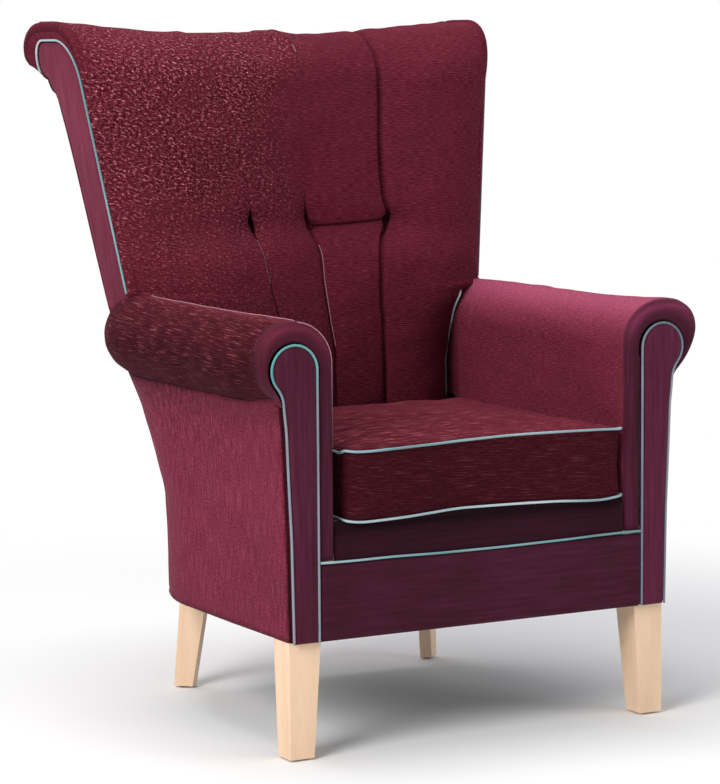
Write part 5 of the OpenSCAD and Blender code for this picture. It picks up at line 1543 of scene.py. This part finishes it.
# %% A cloth simulation with air in it
def evaluated_copy(piece, name):
    """A plain mesh of a piece as its modifiers leave it."""
    view = bpy.context.evaluated_depsgraph_get()
    mesh = bpy.data.meshes.new_from_object(piece.evaluated_get(view))
    mesh.name = name
    return mesh


def filled_out(start, held_lines, reach, voxel, cap, pressure=4.0, frames=20):
    """Even mesh, then a short cloth simulation with air in it; returns the points before and after."""
    remesh = start.modifiers.new("even_mesh", "REMESH")
    remesh.mode, remesh.voxel_size = "VOXEL", voxel
    mesh = evaluated_copy(start, start.name + "_even")
    bpy.data.objects.remove(start)
    piece = in_scene(mesh.name, mesh)
    before = np.array([v.co for v in mesh.vertices])
    lines = np.vstack(held_lines) * MM
    near = np.array([np.min(np.sum((lines - p) ** 2, axis=1)) for p in before]) < (reach * MM) ** 2
    group = piece.vertex_groups.new(name="held")
    group.add(np.nonzero(near)[0].tolist(), 1.0, "REPLACE")
    cloth = piece.modifiers.new("filling", "CLOTH")
    cloth.settings.quality = 6
    cloth.settings.mass = 0.25
    cloth.settings.tension_stiffness = cloth.settings.compression_stiffness = 14
    cloth.settings.shear_stiffness, cloth.settings.bending_stiffness = 6, 1.2
    cloth.settings.use_pressure, cloth.settings.uniform_pressure_force = True, pressure
    cloth.settings.vertex_group_mass = "held"
    cloth.settings.effector_weights.gravity = 0
    cloth.collision_settings.use_collision = False
    scene = bpy.context.scene
    scene.frame_start, scene.frame_end = 1, frames
    for frame_number in range(1, frames + 1):
        scene.frame_set(frame_number)
    view = bpy.context.evaluated_depsgraph_get()
    after = np.array([v.co for v in piece.evaluated_get(view).data.vertices])
    piece.modifiers.clear()
    scene.frame_set(1)
    move = after - before
    length = np.linalg.norm(move, axis=1, keepdims=True)
    move *= np.minimum(1, cap * MM / np.maximum(length, 1e-9))
    return piece, before, before + move


# %% Filling the cushion
CUSHION_MOST_X, CUSHION_LEAST_RISE = 0.2492, 0.5
top_line = np.column_stack([cushion_plan(0), np.full(len(cushion_plan(0)), cushion_top)])
low_line = np.column_stack([cushion_plan(0), np.full(len(cushion_plan(0)), cushion_low + 2)])
cushion_lines = [to_frame(along(np.vstack([line, line[:1]]), 700)) / MM for line in (top_line, low_line)]
cushion_piece, cushion_before, cushion_after = filled_out(
    make_cushion_start(), cushion_lines, reach=6.5, voxel=0.0056, cap=24)
cushion_after[:, 0] = np.clip(cushion_after[:, 0], -CUSHION_MOST_X, CUSHION_MOST_X)
cushion_after[:, 2] = np.maximum(cushion_after[:, 2], (cushion_low + CUSHION_LEAST_RISE) * MM)
cushion_move = np.linalg.norm(cushion_after - cushion_before, axis=1)
print("cushion filled out by", round(1000 * float(np.max(cushion_move)), 1), "mm at most")


# %% [markdown]
# Air alone leaves a cushion too even. The slow swellings, the folds and the front edge that
# isn't level are added by formula, because then they lie where the photograph shows them.
# %% Details of the cushion
def cushion_details(points):
    """Lumps, hollows and folds on the top, front edges that aren't level, a few folds over the front edge."""
    p = points / MM
    d = p[:, 1] - front_y
    local = np.column_stack([p[:, 0], d, p[:, 2]])
    on_top = smooth_step(local[:, 2], cushion_top - 1, cushion_top + 4)
    lumps = 1.2 * ripples(local, 95, 81) + 0.5 * ripples(local, 40, 83)
    local[:, 2] += on_top * lumps
    folds = np.sin(local[:, 0] / 31 + 0.7 * np.sin(d / 60))
    local[:, 2] += on_top * 1.6 * np.exp(-((d - 150) / 120) ** 2) * folds
    share = np.clip((local[:, 2] - cushion_low) / (cushion_top - cushion_low), 0, 1)
    local[:, 2] += mix(edge_wave(local, low_wave), edge_wave(local, top_wave), share)
    front = smooth_step(d, 30, 8) * (1 - on_top)
    local[:, 1] -= front * (0.9 * np.sin(local[:, 0] / 38 + 1.1) + 0.7 * ripples(local, 60, 87))
    return np.column_stack([local[:, 0], local[:, 1] + front_y, local[:, 2]]) * MM


cushion_after = cushion_details(cushion_after)
cushion_piece.data.vertices.foreach_set("co", cushion_after.ravel())
halves = cushion_piece.modifiers.new("smooth", "SUBSURF")
halves.levels = halves.render_levels = 1
final_mesh = evaluated_copy(cushion_piece, "cushion_cover_filled")
bpy.data.objects.remove(cushion_piece)
seat_cushion = in_scene("cushion_cover_filled", final_mesh)
print("cushion mesh:", len(final_mesh.vertices), "points")


# %% [markdown]
# A boxed cushion is cut as two flat panels and a long border, and its weave turns at the piping.
# Unwrapping would ask for seams marked on a mesh that changes with every run. The cut itself is
# known: panels are read from above, and the border by the way walked round the plan.
# %% The cushion's cloth
def cushion_cloth(mesh):
    """The flat cloth of the cushion: its top and bottom from above, its border round the plan."""
    p = points_of(mesh)
    plan = cushion_plan(0, 4.0)
    run = walked(plan)
    angle = np.unwrap(np.arctan2(plan[:, 1] - cushion_mid_d, plan[:, 0]))
    start = angle[0]
    own = start + (np.arctan2(p[:, 1] - cushion_mid_d, p[:, 0]) - start) % (2 * math.pi)
    round_run = np.interp(own, angle, run)
    border = (p[:, 2] > cushion_low + 2) & (p[:, 2] < cushion_top - 1)
    flat = np.where(border[:, None], np.column_stack([round_run, p[:, 2]]), p[:, :2])
    set_cloth(mesh, flat)
    # Painted light: the top is painted lighter and the border darker, as painted shade
    tall = np.clip((p[:, 2] - cushion_top + 4) / 8, 0, 1)
    left = smooth_step(p[:, 0], 200, -120)
    streak = 0.32 * (1 - tall) + tall * (0.45 + 0.4 * left)
    set_pile(mesh, 0.43 + 0.74 * tall, 0.04 + 0.34 * tall * left, streak)


cushion_cloth(final_mesh)
final_mesh.materials.clear()
final_mesh.materials.append(chenille)
final_mesh.polygons.foreach_set("use_smooth", [True] * len(final_mesh.polygons))
outward(seat_cushion)
finish_with(seat_cushion, "cushion", "wine_chenille", "cushion_cover", "cushion_foam")

# %% [markdown]
# ## Piping
# Piping is one cord in a strip of bias cut cloth, sewn into a seam. A curve with a bevel would
# draw one cord; a Geometry Nodes group draws them all, with named sizes. It walks along a line,
# lays a round tube on it and writes the cloth's place from the distance walked.
# %% The start and the end of every node group
def open_group(name, **sizes):
    """A node group that takes a line and named sizes; returns it and its inputs."""
    group = bpy.data.node_groups.new(name, "GeometryNodeTree")
    face = group.interface
    face.new_socket("Line", in_out="INPUT", socket_type="NodeSocketGeometry")
    for key, value in sizes.items():
        face.new_socket(key, in_out="INPUT", socket_type="NodeSocketFloat").default_value = value
    face.new_socket("Made", in_out="OUTPUT", socket_type="NodeSocketGeometry")
    return group, group.nodes.new("NodeGroupInput").outputs


def close_group(group, geometry, material):
    """Makes instances real and dresses the result, which the group gives back."""
    real = put(group, "GeometryNodeRealizeInstances", {"Geometry": geometry})
    dressed = put(group, "GeometryNodeSetMaterial", {"Geometry": real.outputs[0], "Material": material})
    put(group, "NodeGroupOutput", {"Made": dressed.outputs[0]})
    return group


print("node group helpers ready")

# %% A node group for cords
CORD_SIDES = 10
TUBE_WAY_ROUND = 0.004


def cord_group(name, material):
    group, given = open_group(name, Radius=0.0025, Spacing=0.003)
    curve = put(group, "GeometryNodeMeshToCurve", {"Mesh": given["Line"]})
    even = put(group, "GeometryNodeResampleCurve",
               {"Curve": curve.outputs["Curve"], "Length": given["Spacing"]}, mode="LENGTH")
    keep = put(group, "GeometryNodeCaptureAttribute", {"Geometry": even.outputs["Curve"]}, domain="POINT")
    keep.capture_items.new("FLOAT", "Length")
    feed(group, keep.inputs["Length"], put(group, "GeometryNodeSplineParameter").outputs["Length"])
    ring = put(group, "GeometryNodeCurvePrimitiveCircle",
               {"Resolution": CORD_SIDES, "Radius": given["Radius"]})
    tube = put(group, "GeometryNodeCurveToMesh", {
        "Curve": keep.outputs["Geometry"], "Profile Curve": ring.outputs["Curve"], "Fill Caps": True})
    normal = put(group, "GeometryNodeInputNormal").outputs["Normal"]
    upward = put(group, "ShaderNodeSeparateXYZ", {"Vector": normal}).outputs["Z"]
    round_it = calc(group, "MULTIPLY", upward, TUBE_WAY_ROUND)
    place = put(group, "ShaderNodeCombineXYZ", {"X": keep.outputs["Length"], "Y": round_it})
    store = put(group, "GeometryNodeStoreNamedAttribute", data_type="FLOAT_VECTOR", domain="POINT")
    feed(group, store.inputs["Name"], "cloth")
    feed(group, store.inputs["Geometry"], tube.outputs["Mesh"])
    feed(group, store.inputs["Value"], place.outputs["Vector"])
    smooth = put(group, "GeometryNodeSetShadeSmooth", {"Geometry": store.outputs["Geometry"]})
    return close_group(group, smooth.outputs["Geometry"], material)


def set_input(modifier, name, value):
    """Sets a named input of a node group through its identifier."""
    for item in modifier.node_group.interface.items_tree:
        if item.item_type == "SOCKET" and item.in_out == "INPUT" and item.name == name:
            modifier[item.identifier] = value


def run_group(name, lines, group, closed=False, **values):
    """Runs a node group on lines of points and keeps the result as a plain mesh."""
    points, edges = [], []
    for line in lines:
        base = len(points)
        points += to_frame(line).tolist()
        edges += [(base + i, base + i + 1) for i in range(len(line) - 1)]
        if closed:
            edges.append((base + len(line) - 1, base))
    source_mesh = bpy.data.meshes.new(name + "_line")
    source_mesh.from_pydata(points, edges, [])
    source = in_scene(name + "_line", source_mesh)
    modifier = source.modifiers.new("build", "NODES")
    modifier.node_group = group
    for key, value in values.items():
        set_input(modifier, key, value)
    made = in_scene(name, evaluated_copy(source, name))
    bpy.data.objects.remove(source)
    outward(made)
    return made


piping_group = cord_group("lay_piping", piping_cloth)
print("node group:", piping_group.name, "with", len(piping_group.nodes), "nodes")


# %% Piping along a line
PIPING_R, PIPING_STEP = 1.85, 2.8


def piping(name, line, body, stands_for, radius=PIPING_R, closed=False, pale=None, lilac=None):
    """A cord; pale and lilac say how pale and how lilac it is, from each point's place."""
    made = run_group(name, [line], piping_group, closed, Radius=radius * MM, Spacing=PIPING_STEP * MM)
    p = points_of(made.data)
    set_pile(made.data, 1.0, pale(p) if pale else 0.0, lilac(p) if lilac else 0.0)
    return finish_with(made, body, "teal_piping", stands_for)


def always(share):
    return lambda p: share + 0 * p[:, 0]


def wander(line, size, amount, seed):
    """A sewn line is never quite straight."""
    line = np.array(line, float)
    line[:, 2] += amount * ripples(line, size, seed)
    line[:, 1] += 0.35 * amount * ripples(line, size * 0.8, seed + 1)
    return line


print("piping:", 2 * PIPING_R, "mm thick")


# %% [markdown]
# Each facing is piped round, the boards of the back only as far as the tip of the scroll. A
# short run climbs the seam between back and arm. Each line repeats the formula of the board
# that it is sewn to, so cord and board can't part.
# %% Piping of the arms and the back
ARM_CORD_IN, ARM_CORD_D, BACK_CORD_OUT = 2.4, 1.7, 1.6
SEAM_CORD_X, SEAM_CORD_BEHIND = 246.5, 8.5
for side, sign in (("left", -1), ("right", 1)):
    loop = arm_front_loop(-ARM_CORD_IN)
    line = along(np.column_stack([sign * loop[:, 0], np.full(len(loop), ARM_CORD_D), loop[:, 1]]), 420)
    piping(f"arm_cord_{side}", line, "chair", f"arm_piping_{side}",
           pale=lambda p: 0.45 * smooth_step(p[:, 2], 560, 500) + 0.25 * (side == "right"),
           lilac=lambda p: 0.75 if side == "right" else 0.7 * smooth_step(p[:, 2], 585, 520))
    edge = np.concatenate([
        [(pipe_d(arm_h + 1), arm_h + 1)],
        round_points((scroll_d, scroll_h), scroll_r, np.linspace(180 - math.degrees(lean), 90, 24)),
        round_points((tip_d, tip_h), tip_r, np.linspace(90, -38, 20))])
    line = along(np.column_stack([sign * (back_x(edge[:, 1]) + BACK_CORD_OUT), edge[:, 0], edge[:, 1]]), 360)
    piping(f"back_cord_{side}", line, "chair", f"back_piping_{side}",
           pale=lambda p: 0.35 + 0.65 * smooth_step(p[:, 2], 1000, 1035),
           lilac=always(0.95) if side == "right" else None)
    z = steps(cushion_top, arm_h - 12, 4)
    over_roll = smooth_step(z, roll_h, arm_h)
    line = np.column_stack([
        sign * (SEAM_CORD_X + 16 * over_roll ** 2), edge_d(z) - SEAM_CORD_BEHIND - 3 * over_roll, z])
    piping(f"seam_cord_{side}", line, "chair", f"seam_piping_{side}", 1.8,
           pale=always(0.8), lilac=always(0.35))

# %% Piping of the border and the cushion
BORDER_SAG = 2.6
xs = steps(-border_hw, border_hw, 8)
sagging = border_h + pipe_r - BORDER_SAG * np.cos(np.pi * xs / 2 / border_hw) ** 2 + 1.2
piping("border_cord", wander(np.column_stack([xs, np.full(len(xs), 1.4), sagging]), 130, 0.5, 95),
       "chair", "border_piping", 1.75, pale=lambda p: 0.3 + 0.2 * smooth_step(p[:, 0], 0, -200))


def cushion_cord_line(z, waves, seed):
    plan = cushion_plan(1.9, 5.0)
    line = np.column_stack([plan, np.full(len(plan), z)])
    line[:, 0] = np.clip(line[:, 0], -seat_hw + pipe_r + 0.5, seat_hw - pipe_r - 0.5)
    line[:, 2] += edge_wave(line, waves) + 0.4 * ripples(line, 110, seed)
    if waves is top_wave:
        line[:, 2] -= side_drop(line)
    return line


piping("cushion_cord_top", cushion_cord_line(cushion_top, top_wave, 97), "cushion", "cushion_piping_top",
       closed=True, pale=lambda p: 0.55 + 0.4 * smooth_step(p[:, 0], -60, 200))
piping("cushion_cord_low", cushion_cord_line(cushion_low + pipe_r + 1.4, low_wave, 99), "cushion",
       "cushion_piping_bottom", closed=True, pale=lambda p: 0.8 + 0.2 * smooth_step(p[:, 0], -60, 200))

# %% [markdown]
# ## Threads
# A pale line along the crest of the left arm is a painted highlight on the arm's edge, drawn as a
# thread and painted darker lower down; a few seams of the back show their thread where the pile
# is thin. A drawn line in the material would stay flat, so they are cords too, from the same kind
# of group, at little more than a third of the thickness.
# %% Thread lines
THREAD_R, THREAD_STEP = 0.7, 3.0
thread_group = cord_group("lay_thread", thread)


def thread_line(name, line, strength, radius=THREAD_R):
    """A thread; strength is how light it looks, as a number or from each point's height."""
    made = run_group(name, [line], thread_group, Radius=radius * MM, Spacing=THREAD_STEP * MM)
    set_pile(made.data, strength(points_of(made.data)[:, 2]) if callable(strength) else strength)
    return finish_with(made, "chair", "wine_chenille")


def on_seam(seam_share, low_z, high_z):
    """A line over the finished back along one of its seams."""
    column = int(np.argmin(np.abs(share_of - seam_share))) + (back_front.shape[1] - len(share_of)) // 2
    points = back_front[:len(front_rows) + ARC_ROWS, column]
    points = points[(points[:, 2] > low_z) & (points[:, 2] < high_z)]
    return along(points - np.array([0, 0.6, 0]), 120)


crest_col = int(np.argmin(np.abs(np.where(arm_low, 999, arm_theta) - 100)))
ring_cols = [c for c in range(crest_col, -1, -1) if not arm_low[c] or arm_out[20, c, 2] > 458]
left_arm = arm_nets["left"]
path = list(left_arm[:RING_ROWS + 1:-1, crest_col]) + [left_arm[RING_ROWS - 1, c] for c in ring_cols]
# A painted highlight along the crest of the left arm, drawn as a thread, painted darker lower down
thread_line("arm_rim_highlight_left", along(np.array(path) * (-1, 1, 1) + np.array([0, -0.3, 0.5]), 280),
            lambda z: 0.12 + 0.83 * smooth_step(z, 470, 620), 0.75)
thread_line("back_thread_mid", on_seam(0.012, 545, 712), 0.62)
thread_line("back_thread_left", on_seam(-1.015, 650, 722), 0.30)
thread_line("back_thread_top", on_seam(0.02, 1018, 1036), 0.7)

# %% [markdown]
# ## Stitches, staples and zip teeth
# The dust cover is stapled under the rails, the lip is sewn to the platform under the cushion,
# and the cushion closes with a zip. Such small parts repeat at an even pitch. Copies could be
# set one by one in a loop; a node group that sets a bar on every step of a line needs only the
# line and the pitch, and either can be changed later.
# %% A node group for repeats
def repeat_group(name, material):
    group, given = open_group(name, Pitch=0.02, Long=0.008, Wide=0.001, Tall=0.001)
    curve = put(group, "GeometryNodeMeshToCurve", {"Mesh": given["Line"]})
    spots = put(group, "GeometryNodeCurveToPoints",
                {"Curve": curve.outputs["Curve"], "Length": given["Pitch"]}, mode="LENGTH").outputs
    turn = put(group, "FunctionNodeAlignRotationToVector", {"Vector": spots["Tangent"]}, axis="X")
    size = put(group, "ShaderNodeCombineXYZ", {"X": given["Long"], "Y": given["Wide"], "Z": given["Tall"]})
    bar = put(group, "GeometryNodeMeshCube", {"Size": size.outputs["Vector"]})
    lay = put(group, "GeometryNodeInstanceOnPoints", {
        "Points": spots["Points"], "Instance": bar.outputs["Mesh"], "Rotation": turn.outputs["Rotation"]})
    return close_group(group, lay.outputs["Instances"], material)


def row_of(name, lines, group, pitch, long, wide, tall, body, slot):
    """A row of bars along each line; sizes in millimetres."""
    made = run_group(name, lines, group, Pitch=pitch * MM, Long=long * MM, Wide=wide * MM, Tall=tall * MM)
    if slot == "plum_plush":
        set_pile(made.data, STITCH_NAP)
    print(f"{name}: {len(made.data.vertices) // 8} pieces at {pitch} mm")
    return finish_with(made, body, slot)


print("row helpers ready")


# %% Rows of staples, stitches and teeth
STITCH_NAP = 0.8
STAPLE_IN, STAPLE_FRONT_IN, STAPLE_REAR_HW, STAPLE_SIDE_REAR = 14.0, 60.0, 170.0, 110.0
STITCH_D, STITCH_H, STITCH_SIDE, TOOTH_SIDE, TOOTH_PROUD = 32.0, 344.9, 8.0, 8.0, 0.1
steel_rows = repeat_group("lay_staples", finish_of["spring_wire"])
stitch_rows = repeat_group("lay_stitches", thread)

low, high = box_mm("dust_cover")
rows = [(low[0] + STAPLE_FRONT_IN, low[1] + STAPLE_IN, high[0] - STAPLE_FRONT_IN, low[1] + STAPLE_IN),
        # The rear row stops short of the legs and of the cover's rounded rear corners
        (-STAPLE_REAR_HW, high[1] - STAPLE_IN, STAPLE_REAR_HW, high[1] - STAPLE_IN)]
rows += [(x, low[1] + STAPLE_FRONT_IN, x, high[1] - STAPLE_SIDE_REAR)
         for x in (low[0] + STAPLE_IN, high[0] - STAPLE_IN)]
staple_lines = [np.array([(x0, d0, low[2] - GAP), (x1, d1, low[2] - GAP)]) for x0, d0, x1, d1 in rows]
row_of("dust_cover_staples", staple_lines, steel_rows, 34, 11, 1.3, 0.9, "chair", "steel")

lip_line = np.array([(x, STITCH_D, STITCH_H) for x in (-seat_hw + STITCH_SIDE, seat_hw - STITCH_SIDE)])
row_of("lip_stitches", [lip_line], stitch_rows, 9, 5.5, 0.9, 0.8, "chair", "plum_plush")

low, high = box_mm("cushion_zip")
middle_z = (low[2] + high[2]) / 2
zip_line = np.array([(x, high[1] + TOOTH_PROUD, middle_z)
                     for x in (low[0] + TOOTH_SIDE, high[0] - TOOTH_SIDE)])
row_of("zip_teeth", [zip_line], steel_rows, 2.6, 1.3, 0.8, 4.2, "cushion", "zip")

# %% [markdown]
# ## Finishes of what shows as modelled
# Legs, rails, springs and the rest keep their solids, whose shape is already right. The legs get
# softened edges, because a planed leg is always eased with glasspaper: Weld joins the loose
# triangles of a construction solid first, and Bevel then rounds only its sharp edges.
# %% Finishes for the carried-over solids
finishes = {
    "leg_beech": ["front_leg_left", "front_leg_right", "rear_leg_left", "rear_leg_right"],
    "raw_beech_up": ["arm_post_left", "arm_post_right", "back_post_left", "back_post_right", "corner_blocks"],
    "raw_beech_across": ["front_seat_rail", "rear_seat_rail", "lower_back_rail", "middle_back_rail",
                         "top_rail"],
    "raw_beech_along": ["seat_rail_left", "seat_rail_right", "arm_rail_left", "arm_rail_right",
                        "tacking_rail_left", "tacking_rail_right"],
    "spring_wire": ["seat_springs", "spring_clips", "leg_bolts"],
    "webbing_tape": ["back_webbing"], "lining_cloth": ["dust_cover"],
    "zip_tape": ["cushion_zip"], "glide_felt": ["foot_glides"],
}
LEG_EDGE = {"front": 2.2, "rear": 2.0}
WELD_WITHIN, SHARP_FROM = 0.05, math.radians(35)
for finish_name, names in finishes.items():
    for node_name in names:
        solid = nodes[node_name]
        solid.data.materials.clear()
        solid.data.materials.append(finish_of[finish_name])
        if finish_name == "leg_beech":
            weld = solid.modifiers.new("weld", "WELD")
            weld.merge_threshold = WELD_WITHIN * MM
            bevel = solid.modifiers.new("eased", "BEVEL")
            bevel.width = LEG_EDGE[node_name.split("_")[0]] * MM
            bevel.segments, bevel.limit_method, bevel.angle_limit = 3, "ANGLE", SHARP_FROM
print("finished solids:", sum(len(v) for v in finishes.values()))
